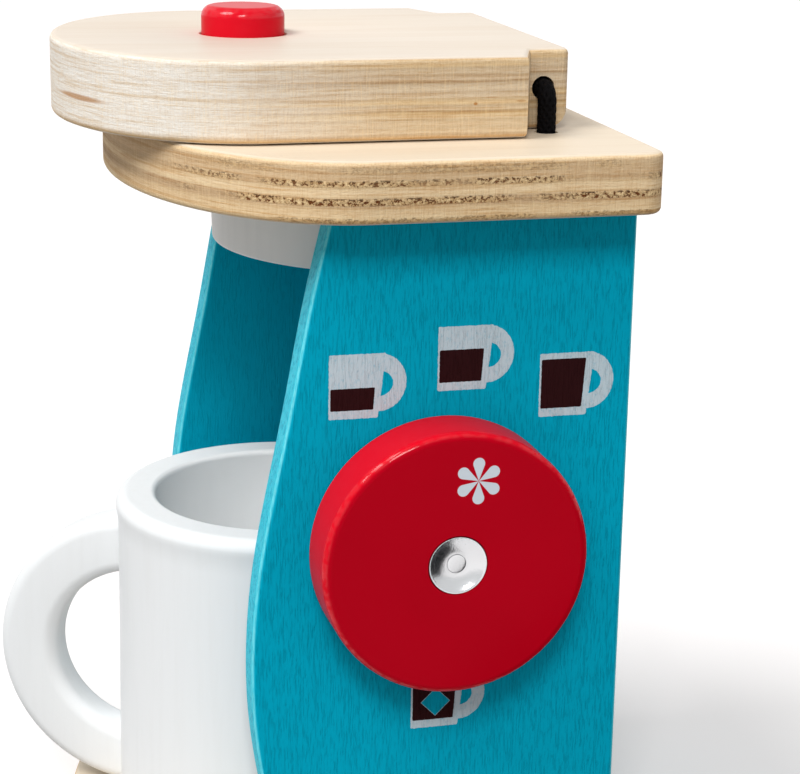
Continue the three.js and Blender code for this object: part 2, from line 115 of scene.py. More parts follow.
# %% Colours
def shown(red, green, blue):
    """The linear colour that a shader takes for a colour as a screen shows it."""
    share = np.array([red, green, blue]) / 255
    linear = np.where(share <= 0.04045, share / 12.92, ((share + 0.055) / 1.055) ** 2.4)
    return (*linear.tolist(), 1.0)


# %% A value that can be reckoned with
class Value:
    """A number that varies over a surface: the output socket of a node, with operators."""

    def __init__(self, nodes, socket):
        self.nodes = nodes
        self.socket = socket

    def __add__(self, other):
        return self.nodes.maths("ADD", self, other)

    def __sub__(self, other):
        return self.nodes.maths("SUBTRACT", self, other)

    def __rsub__(self, other):
        return self.nodes.maths("SUBTRACT", other, self)

    def __mul__(self, other):
        return self.nodes.maths("MULTIPLY", self, other)

    def __truediv__(self, other):
        return self.nodes.maths("DIVIDE", self, other)

    def __abs__(self):
        return self.nodes.maths("ABSOLUTE", self)

    __radd__ = __add__
    __rmul__ = __mul__


# %% The nodes of a material or a world
class Nodes:
    """A node tree that grows by one node for each call."""

    def __init__(self, tree):
        self.tree = tree

    def node(self, kind, settings=None, inputs=None):
        """Any node: settings first, with a ramp's stops among them, then values or links."""
        made = self.tree.nodes.new(kind)
        for key, value in (settings or {}).items():
            if key == "stops":
                self.set_stops(made.color_ramp, value)
            else:
                setattr(made, key, value)
        for key, value in (inputs or {}).items():
            socket = next(s for s in made.inputs if key in (s.identifier, s.name))
            source = value.socket if isinstance(value, Value) else value
            if isinstance(source, bpy.types.NodeSocket):
                self.tree.links.new(source, socket)
            else:
                socket.default_value = shown(*source) if socket.type == "RGBA" else source
        return made

    @staticmethod
    def set_stops(ramp, stops):
        """Stops are pairs of a position and a colour, in rising order."""
        ramp.elements[0].position, ramp.elements[-1].position = stops[0][0], stops[-1][0]
        ramp.elements[0].color, ramp.elements[-1].color = shown(*stops[0][1]), shown(*stops[-1][1])
        for position, colour in stops[1:-1]:
            ramp.elements.new(position).color = shown(*colour)

    def maths(self, operation, *values):
        """A Math node of up to three values."""
        sockets = dict(zip(("Value", "Value_001", "Value_002"), values))
        return Value(self, self.node("ShaderNodeMath", {"operation": operation}, sockets).outputs[0])

    def most(self, *values):
        """The largest of the values."""
        largest = values[0]
        for value in values[1:]:
            largest = self.maths("MAXIMUM", largest, value)
        return largest

    def least(self, *values, soft=None):
        """The smallest of the values; with soft, they run into each other over that length."""
        smallest = values[0]
        for value in values[1:]:
            smallest = (self.maths("MINIMUM", smallest, value) if soft is None
                        else self.maths("SMOOTH_MIN", smallest, value, soft))
        return smallest

    def length(self, *parts):
        """The root of the sum of the squares."""
        return self.maths("SQRT", sum(part * part for part in parts))

    def split(self, vector):
        """The three parts of a vector or of a colour."""
        parts = self.node("ShaderNodeSeparateXYZ", inputs={"Vector": vector}).outputs
        return [Value(self, part) for part in parts]

    def between(self, value, low, high):
        """0 below low, 1 above high and a soft step between them; low may be the higher one."""
        step = self.node("ShaderNodeMapRange", {"interpolation_type": "SMOOTHSTEP"},
                         {"Value": value, "From Min": low, "From Max": high})
        return Value(self, step.outputs[0])

    def window(self, value, centre, half, soft):
        """1 within half of the centre, 0 beyond half plus soft."""
        return self.between(abs(value - centre), half + soft, half)

    def mix(self, factor, first, second, blend="MIX"):
        """The first colour at factor 0 and the second at 1."""
        settings = {"data_type": "RGBA", "blend_type": blend}
        inputs = {"Factor_Float": factor, "A_Color": first, "B_Color": second}
        made = self.node("ShaderNodeMix", settings, inputs)
        return next(s for s in made.outputs if s.identifier == "Result_Color")

    def over(self, colour, tint, pattern, start, full, strength, blend="MIX"):
        """The tint laid on the colour at most by strength, as the pattern goes from start to full."""
        return self.mix(self.between(pattern, start, full) * strength, colour, tint, blend)


# %% A finish
class Finish(Nodes):
    """A material round one Principled shader, whose constants are set on its own sockets."""

    def __init__(self, name, constants):
        self.material = bpy.data.materials.new(name)
        self.material.use_nodes = True
        super().__init__(self.material.node_tree)
        self.tree.nodes.clear()
        self.shader = self.node("ShaderNodeBsdfPrincipled", inputs=constants)
        self.output = self.node("ShaderNodeOutputMaterial",
                                inputs={"Surface": self.shader.outputs["BSDF"]})
        coordinates = self.node("ShaderNodeTexCoord")
        self.place = coordinates.outputs["Object"]
        self.x, self.y, self.z = (part * (1 / MM) for part in self.split(self.place))
        self.facing = [abs(part) for part in self.split(coordinates.outputs["Normal"])]

    def noise(self, per_metre, detail=2, roughness=0.5, shift=(0, 0, 0)):
        """Noise whose grain is as fine along each axis as per_metre says."""
        vector = self.node("ShaderNodeVectorMath", {"operation": "MULTIPLY_ADD"},
                           {"Vector": self.place, "Vector_001": per_metre, "Vector_002": shift})
        inputs = {"Vector": vector.outputs[0], "Scale": 1, "Detail": detail, "Roughness": roughness}
        return Value(self, self.node("ShaderNodeTexNoise", inputs=inputs).outputs["Fac"])

    def specks(self, per_metre, size, share):
        """Small round spots in a share of the cells of a Voronoi pattern."""
        cells = self.node("ShaderNodeTexVoronoi", inputs={"Vector": self.place, "Scale": per_metre})
        chosen = self.split(cells.outputs["Color"])[0]
        spot = self.between(Value(self, cells.outputs["Distance"]), size, size * 0.6)
        return spot * self.between(chosen, share, share * 0.9)

    def bump(self, height, depth):
        """Raises the surface by depth millimetres where height is 1."""
        bump = self.node("ShaderNodeBump", inputs={"Height": height, "Distance": depth * MM})
        self.feed("Normal", bump.outputs["Normal"])

    def feed(self, name, source):
        """Links a value or a colour to a socket of the shader."""
        socket = source.socket if isinstance(source, Value) else source
        self.tree.links.new(socket, self.shader.inputs[name])


# %% [markdown]
# ## The studio
# The photograph has a white ground with a soft shadow to the right of the toy. The white is
# the floor's and the world's own colour for the camera, for gloss and through glass. The light
# itself stays plain, so that a colour renders about as it is written: a soft far lamp from the
# upper left, a nearer one above the camera that draws the top board's shadow on the panel, and
# an even world. A small black card, seen only in gloss, darkens one side of the steel dish.

# %% Floor
def seen_directly(nodes):
    """1 for what the camera, a mirror or a glass sees, 0 for light that falls on something."""
    rays = nodes.node("ShaderNodeLightPath").outputs
    return nodes.most(*(Value(nodes, rays[name]) for name in
                        ("Is Camera Ray", "Is Glossy Ray", "Is Transmission Ray")))


def stage_sheet(name, corners, finish):
    """A flat sheet of the studio, from its four corners in metres."""
    mesh = bpy.data.meshes.new(name)
    mesh.from_pydata(corners, [], [[0, 1, 2, 3]])
    mesh.materials.append(finish.material)
    sheet = bpy.data.objects.new(name, mesh)
    bpy.context.scene.collection.objects.link(sheet)
    return sheet


FLOOR_REACH, FLOOR_GLOW = 6.0, 0.15
FLOOR_LIT, FLOOR_SEEN = (150, 150, 150), (253, 249, 248)
floor_finish = Finish("floor_paper", {"Roughness": 0.9, "Specular IOR Level": 0.0})
floor_seen = seen_directly(floor_finish)
floor_finish.feed("Base Color", floor_finish.mix(floor_seen, FLOOR_LIT, FLOOR_SEEN))
floor_light = floor_finish.node("ShaderNodeEmission", inputs={"Strength": floor_seen * FLOOR_GLOW})
floor_sum = floor_finish.node("ShaderNodeAddShader", inputs={
    "Shader": floor_finish.shader.outputs["BSDF"], "Shader_001": floor_light.outputs[0]})
floor_finish.tree.links.new(floor_sum.outputs[0], floor_finish.output.inputs["Surface"])
floor_corners = np.array([[-1, -1, 0], [1, -1, 0], [1, 1, 0], [-1, 1, 0]]) * FLOOR_REACH
stage_sheet("floor", floor_corners.tolist(), floor_finish)

# %% World
FILL_STRENGTH = 0.38
world = bpy.data.worlds.new("studio")
bpy.context.scene.world = world
world.use_nodes = True
background = world.node_tree.nodes["Background"]
background.inputs["Color"].default_value = (1, 1, 1, 1)
world_nodes = Nodes(world.node_tree)
world_strength = world_nodes.node(
    "ShaderNodeMapRange", inputs={"Value": seen_directly(world_nodes), "To Min": FILL_STRENGTH})
world.node_tree.links.new(world_strength.outputs[0], background.inputs["Strength"])

# %% Lamps and the card
TOY_MIDDLE = np.array([0, 0, 0.1])


def lamp(name, place, kind, strength, **size):
    """A soft lamp at a place, turned to face the middle of the toy."""
    light = bpy.data.lights.new(name, kind)
    light.energy = strength
    for key, value in size.items():
        setattr(light, key, value)
    obj = bpy.data.objects.new(name, light)
    bpy.context.scene.collection.objects.link(obj)
    back = np.array(place) - TOY_MIDDLE
    back /= np.linalg.norm(back)
    side = np.cross([0, 0, 1], back)
    side /= np.linalg.norm(side)
    turned = Matrix(np.column_stack([side, np.cross(back, side), back]).tolist()).to_4x4()
    obj.matrix_world = Matrix.Translation(place) @ turned


lamp("key", (0.22, -0.88, 1.3), "SUN", 2.05, angle=math.radians(30))
lamp("front", (1.0, -0.28, 1.0), "AREA", 8.0, size=0.34)
bpy.context.scene.view_settings.view_transform = "Standard"

CARD_LEFT, CARD_RIGHT, CARD_NEAR, CARD_FAR = -0.05, 0.2, 0.055, 0.165
CARD_FOOT, CARD_TOP = 0.002, 0.08
card_finish = Finish("card_black", {"Base Color": (24, 24, 26), "Specular IOR Level": 0.0})
card = stage_sheet("card", [
    [CARD_LEFT, CARD_NEAR, CARD_FOOT], [CARD_RIGHT, CARD_NEAR, CARD_FOOT],
    [CARD_RIGHT, CARD_FAR, CARD_TOP], [CARD_LEFT, CARD_FAR, CARD_TOP]], card_finish)
card.visible_camera = card.visible_diffuse = card.visible_shadow = card.visible_transmission = False


# %% [markdown]
# ## Outlines and rings
# Most pieces of this toy are sawn from board or turned on a lathe. A sawn piece is an outline
# with a section that says how far each height is set in from it, and a turned piece is the
# same with a circle. Boxes with a bevel could do for some of them, but a grid of rings gives
# every edge the rounding it has and one rule for all. Drilling comes after, as on the bench.

# %% Outline tools
SUPPORT, SAME_POINT = 0.08, 1e-4


def arc(centre, radii, start, end, steps):
    """Centre plus the radius, or the two radii, times the cosine and sine of even angles."""
    angle = np.linspace(start, end, steps + 1)
    return np.array(centre) + np.array(radii) * np.stack([np.cos(angle), np.sin(angle)], 1)


def travelled(line):
    """The length of the line from its start to each of its points."""
    return np.concatenate([[0], np.cumsum(np.linalg.norm(np.diff(line, axis=0), axis=1))])


def read_along(line, lengths):
    """The points of the line at some lengths from its start."""
    return np.stack([np.interp(lengths, travelled(line), line[:, axis]) for axis in (0, 1)], 1)


def closed_outline(*parts, spacing=2.0):
    """Parts of an outline one after another, with shared points dropped and long edges filled:
    the line is travelled round and read at its own corners and at even steps between them."""
    points = np.concatenate([np.atleast_2d(part) for part in parts])
    points = points[np.linalg.norm(points - np.roll(points, 1, 0), axis=1) > SAME_POINT]
    line = np.vstack([points, points[:1]])
    travel = travelled(line)
    even = np.arange(0, travel[-1], spacing)
    clear = np.abs(even[:, None] - travel[None, :]).min(1) > spacing * 0.75
    return read_along(line, np.sort(np.concatenate([travel[:-1], even[clear]])))


def set_in(outline, distance):
    """Every point moves inwards along the bisector of its two edges, by the distance over the
    cosine of half the turn between them."""
    ahead = np.roll(outline, -1, 0) - outline
    ahead = ahead / np.linalg.norm(ahead, axis=1)[:, None]
    normal = np.stack([ahead[:, 1], -ahead[:, 0]], 1)
    before = np.roll(normal, 1, 0)
    bisector = (normal + before) / (1 + (normal * before).sum(1))[:, None]
    return outline - distance * bisector


def eased_section(ease, height, steps=8):
    """Inset and height from the lower face up: a quarter circle at each edge, and a support
    ring close beside each so that smooth shading stays flat on the flats."""
    turn = np.linspace(0, QUARTER, steps + 1)
    lower = np.stack([ease * (1 - np.sin(turn)), ease * (1 - np.cos(turn))], 1)
    lower = np.vstack([[ease + SUPPORT, 0], lower, [0, ease + SUPPORT]])
    return np.vstack([lower, lower[::-1] * (1, -1) + (0, height)])


def flat_ring(points, height):
    """Points of a plane, all lifted to one height."""
    return np.column_stack([points, np.full(len(points), height)])


def sawn(outline, section, low):
    """One ring for each section point: the outline set in by its inset, at its height."""
    return [flat_ring(set_in(outline, inset), low + height) for inset, height in section]


def bored(outline, centre, profile):
    """Rings of a bore: each outline point drawn in along its own direction to the radius."""
    away = outline - np.array(centre)
    away = away / np.linalg.norm(away, axis=1)[:, None]
    return [flat_ring(centre + radius * away, height) for radius, height in profile]


def turned(profile, steps=96, centre=(0, 0)):
    """One circle for each profile point of radius and height."""
    circle = arc((0, 0), 1, 0, 2 * math.pi, steps)[:-1]
    return [flat_ring(centre + radius * circle, height) for radius, height in profile]


# %% From rings to a piece
def skin(rings, ring_shaped=False, poles=None):
    """Faces between neighbouring rings. A ring-shaped piece joins its last ring to its first,
    and any other is closed at each end with a fan to its pole."""
    rings = np.asarray(rings)
    count, around = rings.shape[:2]
    row = np.arange(count if ring_shaped else count - 1)[:, None]
    column = np.arange(around)[None, :]
    after, above = (column + 1) % around, (row + 1) % count
    quads = np.stack([row * around + column, row * around + after,
                      above * around + after, above * around + column], -1).reshape(-1, 4)
    points = rings.reshape(-1, 3)
    if ring_shaped:
        return points, quads.tolist()
    poles = [rings[0].mean(0), rings[-1].mean(0)] if poles is None else poles
    first, last = len(points), (count - 1) * around
    here, there = column[0], after[0]
    fans = np.vstack([np.stack([np.full(around, first), there, here], 1),
                      np.stack([last + here, last + there, np.full(around, first + 1)], 1)])
    return np.vstack([points, poles]), quads.tolist() + fans.tolist()


def along_x(surface):
    """Turns a surface built up along Z so that it builds up along X: its plane is (Y, Z)."""
    return surface[0][:, [2, 0, 1]], surface[1]


def along_y(surface):
    """Turns a surface built up along Z so that it builds up along Y: its plane is (Z, X)."""
    return surface[0][:, [1, 2, 0]], surface[1]


def mesh_of(name, surfaces):
    """One mesh of one or more closed surfaces, in metres."""
    faces, start = [], 0
    for points, polygons in surfaces:
        faces += [[corner + start for corner in polygon] for polygon in polygons]
        start += len(points)
    mesh = bpy.data.meshes.new(name)
    mesh.from_pydata((np.concatenate([points for points, _ in surfaces]) * MM).tolist(), [], faces)
    return mesh


def volume_of(surface):
    """Sum of the signed volumes between the origin and a fan of each face."""
    points, polygons = surface
    total = 0.0
    for size in (3, 4):
        chosen = np.array([polygon for polygon in polygons if len(polygon) == size])
        for k in range(1, size - 1 if len(chosen) else 1):
            a, b, c = points[chosen[:, 0]], points[chosen[:, k]], points[chosen[:, k + 1]]
            total += (a * np.cross(b, c)).sum() / 6
    return total


def outward(rings):
    """The skin of the rings, taken the other way round if it came out inside out."""
    surface = skin(rings)
    return surface if volume_of(surface) > 0 else skin([ring[::-1] for ring in rings])


SHARP_ANGLE, CUBIC_CM, OVERRUN = math.radians(38), 1000, 2


def drill(mesh, finish, cutters):
    """The mesh without the cutters, worked out once by an exact boolean."""
    work = bpy.data.objects.new("work", mesh)
    tool = bpy.data.objects.new("tool", mesh_of("tool", cutters))
    for obj in (work, tool):
        bpy.context.scene.collection.objects.link(obj)
    boolean = work.modifiers.new("drill", "BOOLEAN")
    boolean.operation, boolean.solver, boolean.object = "DIFFERENCE", "EXACT", tool
    graph = bpy.context.evaluated_depsgraph_get()
    result = bpy.data.meshes.new_from_object(work.evaluated_get(graph))
    for obj in (work, tool):
        bpy.data.objects.remove(obj)
    result.materials.clear()
    result.materials.append(finish.material)
    return result


def add_piece(name, surface, finish, body, nodes, cutters=()):
    """Makes the mesh, drills it, shades it and lets it ride on its body for its CAD nodes."""
    if volume_of(surface) < 0:
        raise ValueError(f"{name} is inside out")
    mesh = mesh_of(name, [surface])
    mesh.materials.append(finish.material)
    mesh.shade_smooth()
    if cutters:
        mesh = drill(mesh, finish, cutters)
    mesh.set_sharp_from_angle(angle=SHARP_ANGLE)
    piece = bpy.data.objects.new(name, mesh)
    bpy.context.scene.collection.objects.link(piece)
    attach(piece, body)
    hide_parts(*nodes)
    volume = volume_of(surface) / CUBIC_CM
    print(f"{name}: {len(mesh.polygons)} faces, {volume:.1f} cubic cm before drilling")
    return piece


def bar(radius, low, high, centre, steps=48):
    """A round cutter along Z."""
    return skin(turned([(radius, low), (radius, high)], steps, centre))


# %% [markdown]
# ## Plywood
# On a sanded edge of plywood every layer shows: those whose fibres run along the edge are pale
# and smooth, those seen on end are duller and may be torn into small dark pits. A picture of
# plywood could be wrapped round the board, but its layers would bend at the corners. Here the
# colour is a ramp over the height, so each layer goes round the board as it really does, and
# noise drawn out along the board gives the fibres.

# %% The plywood finish
PIT_BROWN, FLECK_PALE, FLECK_GOLD = (106, 58, 22), (246, 216, 166), (240, 206, 144)
STREAK_BROWN, NOSE_PALE, ROW_OCHRE = (186, 132, 76), (255, 252, 246), (222, 182, 124)
TORN_FROM, TORN_FULL = -40, -27        # along Y: the torn grain fades out towards the nose
PALE_FROM, PALE_FULL = 12, -46     # along Y: the edge grows paler towards the nose


def torn_row(finish, share, at, half, reach, colour, pit_colour, fleck_colour):
    """The colour with one row of torn grain on it, and the height of its pits and flecks."""
    patch = finish.between(finish.noise((42, 42, 5), 3, 0.6, (at * 5, 9, 6)), 0.4, 0.54)
    fade = finish.between(finish.y, TORN_FROM, TORN_FULL) * reach
    row = finish.window(share, at, half * 0.6, half * 0.8) * patch * fade
    torn = finish.noise((1150, 1150, 1500), 3, 0.75, (at * 9, 2, 4))
    pit = finish.between(torn, 0.53, 0.565) * row
    fleck = finish.between(torn, 0.46, 0.42) * row
    colour = finish.mix(row * 0.45, colour, ROW_OCHRE)
    colour = finish.mix(fleck * 0.75, colour, fleck_colour)
    return finish.mix(pit, colour, pit_colour), fleck * 0.5 - pit * 2.0


def plywood(name, low, high, plies, face, tint, rows=(), nose_paling=0.0, streaks=()):
    """Low and high are the heights of the two faces. Plies are pairs of a share of that height
    and a colour. Rows of torn grain are a share, a half width, a strength and the colours of
    pits and flecks. Streaks are ellipsoids of darker wood: a place, three radii, a strength."""
    finish = Finish(name, {"Specular IOR Level": 0.15})
    wander = finish.noise((50, 50, 100), 3) * 0.036 - 0.018
    share = (finish.z - low) / (high - low) + wander
    layer = finish.node("ShaderNodeValToRGB", {"stops": plies}, {"Fac": share}).outputs["Color"]
    edge = finish.between(finish.facing[2], 0.9, 0.6)
    fibre = finish.noise((260, 260, 4600), 5, 0.75)
    lines = finish.noise((36, 36, 1500), 3, 0.6, (6, 2, 5))
    saw = finish.noise((3100, 3100, 210), 2, 0.5, (3, 7, 1))
    grit = finish.noise((1500, 1500, 1900), 4, 0.75, (2, 6, 4))
    grain = finish.noise((1300, 24, 1300), 4, 0.6)
    broad = finish.noise((110, 12, 110), 3, 0.5, (5, 1, 2))
    above_foot = finish.between(share, 0.02, 0.12)
    # The edge turns whiter towards the nose, above the lowest plies.
    pale = finish.between(finish.y, PALE_FROM, PALE_FULL) * above_foot * nose_paling
    colour = finish.mix(pale, layer, NOSE_PALE)
    for pattern, start, full, strength in ((fibre, 0.42, 0.62, 0.4), (lines, 0.48, 0.66, 0.6),
                                           (saw, 0.5, 0.64, 0.17)):
        colour = finish.over(colour, tint, pattern, start, full, strength, "MULTIPLY")
    colour = finish.over(colour, FLECK_PALE, saw, 0.46, 0.34, 0.2)
    colour = finish.over(colour, tint, grit, 0.54, 0.66, 0.24, "MULTIPLY")
    veneer = finish.over(face, tint, grain, 0.4, 0.75, 0.13, "MULTIPLY")
    veneer = finish.over(veneer, tint, broad, 0.4, 0.7, 0.13, "MULTIPLY")
    height = (fibre * 0.7 + saw * 0.7 + grit * 0.6) * edge + grain * 0.2
    for at, half, reach, pit_colour, fleck_colour in rows:
        colour, rise = torn_row(finish, share, at, half, reach, colour, pit_colour, fleck_colour)
        height = height + rise * edge
    for place, radii, reach in streaks:
        far = finish.length(*((axis - at) / radius for axis, at, radius in
                              zip((finish.x, finish.y, finish.z), place, radii)))
        colour = finish.over(colour, STREAK_BROWN, far + fibre * 0.5, 1.25, 0.7, reach)
    finish.feed("Base Color", finish.mix(edge, veneer, colour))
    finish.feed("Roughness", 0.62 - finish.between(finish.facing[2], 0.9, 1.0) * 0.16)
    finish.bump(height, 0.2)
    return finish


board_plies = [
    (0.0, (240, 212, 164)), (0.05, (230, 202, 158)), (0.12, (238, 212, 170)), (0.2, (232, 204, 162)),
    (0.26, (226, 198, 156)), (0.3, (208, 178, 140)), (0.36, (202, 172, 134)), (0.41, (212, 182, 144)),
    (0.45, (240, 214, 172)), (0.52, (244, 218, 178)), (0.57, (232, 205, 163)), (0.61, (216, 186, 146)),
    (0.67, (212, 182, 143)), (0.72, (226, 197, 157)), (0.8, (218, 189, 150)), (0.92, (222, 194, 155)),
    (0.955, (242, 216, 176)), (1.0, (248, 227, 191)),
]
torn_grain = [
    (0.36, 0.05, 1.0, PIT_BROWN, FLECK_PALE), (0.64, 0.045, 0.9, PIT_BROWN, FLECK_PALE),
    (0.85, 0.06, 0.3, (176, 138, 92), FLECK_GOLD), (0.06, 0.045, 0.55, (156, 112, 62), FLECK_GOLD),
]
board_tint, board_face = (222, 196, 162), (231, 216, 194)


# %% [markdown]
# ## The two boards
# Base and top board have the same outline: square at the rear with round corners, half an
# ellipse in front. The top board is drilled for the pod well and for the two legs of the
# elastic cord. The base board has four countersunk screws from below, which hold the panels.

# %% Base board and top board
CORNER, NOSE, EASE, HEAD_GAP, CONE_TIP = 4.5, 40.5, 1.2, 0.1, 0.3


def board_outline(room):
    """Two round rear corners and half an ellipse in front, from side to side of a box."""
    side, rear = room.right - CORNER, room.rear - CORNER
    return closed_outline(
        arc((side, rear), CORNER, 0, QUARTER, 12),
        arc((-side, rear), CORNER, QUARTER, 2 * QUARTER, 12),
        arc((0, room.front + NOSE), (room.right, NOSE), math.pi, 2 * math.pi, 120),
    )


def board_rings(room):
    """The rings of a board that fills a box."""
    return sawn(board_outline(room), eased_section(EASE, room.size[2]), room.foot)


def board_wood(name, room):
    """The plywood that both boards are cut from, over the height of a box."""
    return plywood(name, room.foot, room.top, board_plies, board_face, board_tint, torn_grain)


def countersink(node, sunk):
    """Cutter for the head of a screw that goes in from below, a little wider than the head."""
    screw = Room(node)
    head, foot = screw.radius + HEAD_GAP, screw.foot
    profile = [(head, foot - sunk - OVERRUN), (head, foot), (CONE_TIP, foot + head - CONE_TIP)]
    return skin(turned(profile, 36, screw.middle[:2]))


base = Room("base_plate")
add_piece("base_board", skin(board_rings(base)), board_wood("plywood_base", base),
          "machine", ["base_plate"],
          [countersink(f"base_screw_{i}", Room(f"base_screw_{i}").foot) for i in (1, 2, 3, 4)])

plate, cord = Room("top_plate"), Room("hinge_cord")
cord_y, cord_radius = cord.middle[1], cord.size[1] / 2
cord_x = cord.right - cord_radius
WELL_RADIUS, WELL_Y, DRILL_EASE, CORD_BORE = 17, 3.4, 0.4, 2.35
plate_rings = board_rings(plate) + bored(board_outline(plate), (0, WELL_Y), [
    (WELL_RADIUS + DRILL_EASE + SUPPORT, plate.top), (WELL_RADIUS + DRILL_EASE, plate.top),
    (WELL_RADIUS + 0.3 * DRILL_EASE, plate.top - 0.3 * DRILL_EASE),
    (WELL_RADIUS, plate.top - DRILL_EASE), (WELL_RADIUS, plate.foot),
])
leg_bores = [bar(CORD_BORE, plate.foot - OVERRUN, plate.top + OVERRUN, (side * cord_x, cord_y))
             for side in (-1, 1)]
add_piece("top_board", skin(plate_rings, ring_shaped=True), board_wood("plywood_top", plate),
          "machine", ["top_plate"], leg_bores)


# %% [markdown]
# ## Steel screws
# A countersunk wood screw has a flat slotted head. A photo of one could be laid on a disc, but
# the slot catches the light, so it is cut. The steel is bright and shows fine turning marks.

# %% Screws
def steel(name, roughness, mark_depth):
    """Bright metal with fine uneven marks."""
    finish = Finish(name, {"Base Color": (202, 204, 206), "Metallic": 1.0})
    marks = finish.noise((2600, 2600, 2600), 3, 0.6)
    finish.feed("Roughness", finish.between(marks, 0.2, 0.9) * 0.14 + roughness)
    finish.bump(marks, mark_depth)
    return finish


HEAD_EDGE, POINT, SLOT_HALF, SLOT_DEEP = 0.12, 0.2, 0.35, 0.6
screw_finish = steel("screw_steel", 0.24, 0.01)


def add_screw(name, node, body, shank, tip):
    """Head down: a flat face, a cone to the shank, the shank and its tip, then the slot."""
    screw = Room(node)
    centre, head, foot = screw.middle[:2], screw.radius, screw.foot
    profile = [(head - HEAD_EDGE, foot), (head, foot + HEAD_EDGE), (shank, foot + head - shank),
               (shank, screw.top - tip), (POINT, screw.top)]
    slot = np.array([[-1, -1], [1, -1], [1, 1], [-1, 1]]) * (head + 1, SLOT_HALF) + centre
    cutter = skin([flat_ring(slot, foot - 1), flat_ring(slot, foot + SLOT_DEEP)])
    add_piece(name, skin(turned(profile, 48, centre)), screw_finish, body, [node], [cutter])


for i in (1, 2, 3, 4):
    add_screw(f"wood_screw_{i}", f"base_screw_{i}", "machine", 1.6, 2.5)


# %% [markdown]
# ## Painted panels
# The two side panels are plywood under a satin coat, and the wood still shows through it as
# fine upright dashes. Their front edge is a long curve, narrow at the top and full at the
# height of the mug. It is a smooth curve through a few measured places. The rounded edges are
# painted a lighter teal: partly the thin coat drawn back there, partly a painted highlight.

# %% The paint and the printed cups
TEAL, TEAL_DEEP, TEAL_EDGE_HIGHLIGHT = (0, 171, 202), (0, 158, 187), (80, 224, 242)
PORE_TEAL, HAIR_TEAL, WORN_AND_HIGHLIGHT_TEAL = (0, 96, 122), (0, 186, 212), (150, 240, 248)
ROUGH_TEAL, TEAL_DUST = (10, 168, 198), (150, 220, 230)
PRINT_WHITE, PRINT_BROWN = (198, 216, 224), (44, 16, 18)
CUP_WIDTH, CUP_TAPER, CUP_DEPTH, CUP_SOFT = 11.4, 0.11, 13.0, 0.5
COFFEE_LEFT, COFFEE_RIGHT, COFFEE_TAPER, COFFEE_DEPTH, COFFEE_SOFT = 0.35, 9.8, 0.07, 11.35, 0.4
RING_ACROSS, RING_OUTER, RING_INNER = 10.1, (5.5, 5.85, 5.9), (2.75, 2.5, 6.1)
GEM_HALF, PRINT_EDGE = 3.05, 0.09


def cup_shapes(finish, left, top, level):
    """Signed distances, in millimetres, of a cup in side view and of the coffee in it: the
    least of the distances to the four sides, and a ring between two ellipses for the handle."""
    across = finish.y - left
    down = top - finish.z

    def ellipse(radius_across, radius_down, centre_down):
        """About the distance to the inside of an ellipse in the handle's middle."""
        far = finish.length((across - RING_ACROSS) / radius_across, (down - centre_down) / radius_down)
        return (1 - far) * radius_across

    body = finish.least(across, CUP_WIDTH - down * CUP_TAPER - across, down, CUP_DEPTH - down,
                        soft=CUP_SOFT)
    cup = finish.most(body, finish.least(ellipse(*RING_OUTER), 0 - ellipse(*RING_INNER)))
    coffee = finish.least(across - COFFEE_LEFT, COFFEE_RIGHT - down * COFFEE_TAPER - across,
                          down - level, COFFEE_DEPTH - down, soft=COFFEE_SOFT)
    return cup, coffee


def print_cups(finish, colour, face_x):
    """The colour with four cups and a gem over it, on the face beyond face_x only."""
    frayed = finish.noise((1600, 1600, 1600), 2) * 0.3 - 0.15
    face = finish.between(finish.x, face_x - 0.3, face_x - 0.2)
    shapes = [cup_shapes(finish, dial_y + left, dial_z + top, level) for left, top, level in PRINTED_CUPS]
    cups, coffees = (finish.most(*kind) for kind in zip(*shapes))
    gem = GEM_HALF - abs(finish.y - (dial_y + GEM[0])) - abs(finish.z - (dial_z + GEM[1]))
    coffees = finish.least(coffees, 0 - gem)
    ink = finish.between(cups + frayed, 0, PRINT_EDGE) * face * (1 - finish.between(gem, 0, PRINT_EDGE))
    dark = finish.between(coffees + frayed * 0.6, 0, PRINT_EDGE) * face
    thin = finish.noise((1500, 1500, 1100), 4, 0.7, (8, 2, 5))
    colour = finish.mix(ink * (1 - finish.between(thin, 0.5, 0.75) * 0.4), colour, PRINT_WHITE)
    return finish.mix(dark, colour, PRINT_BROWN)


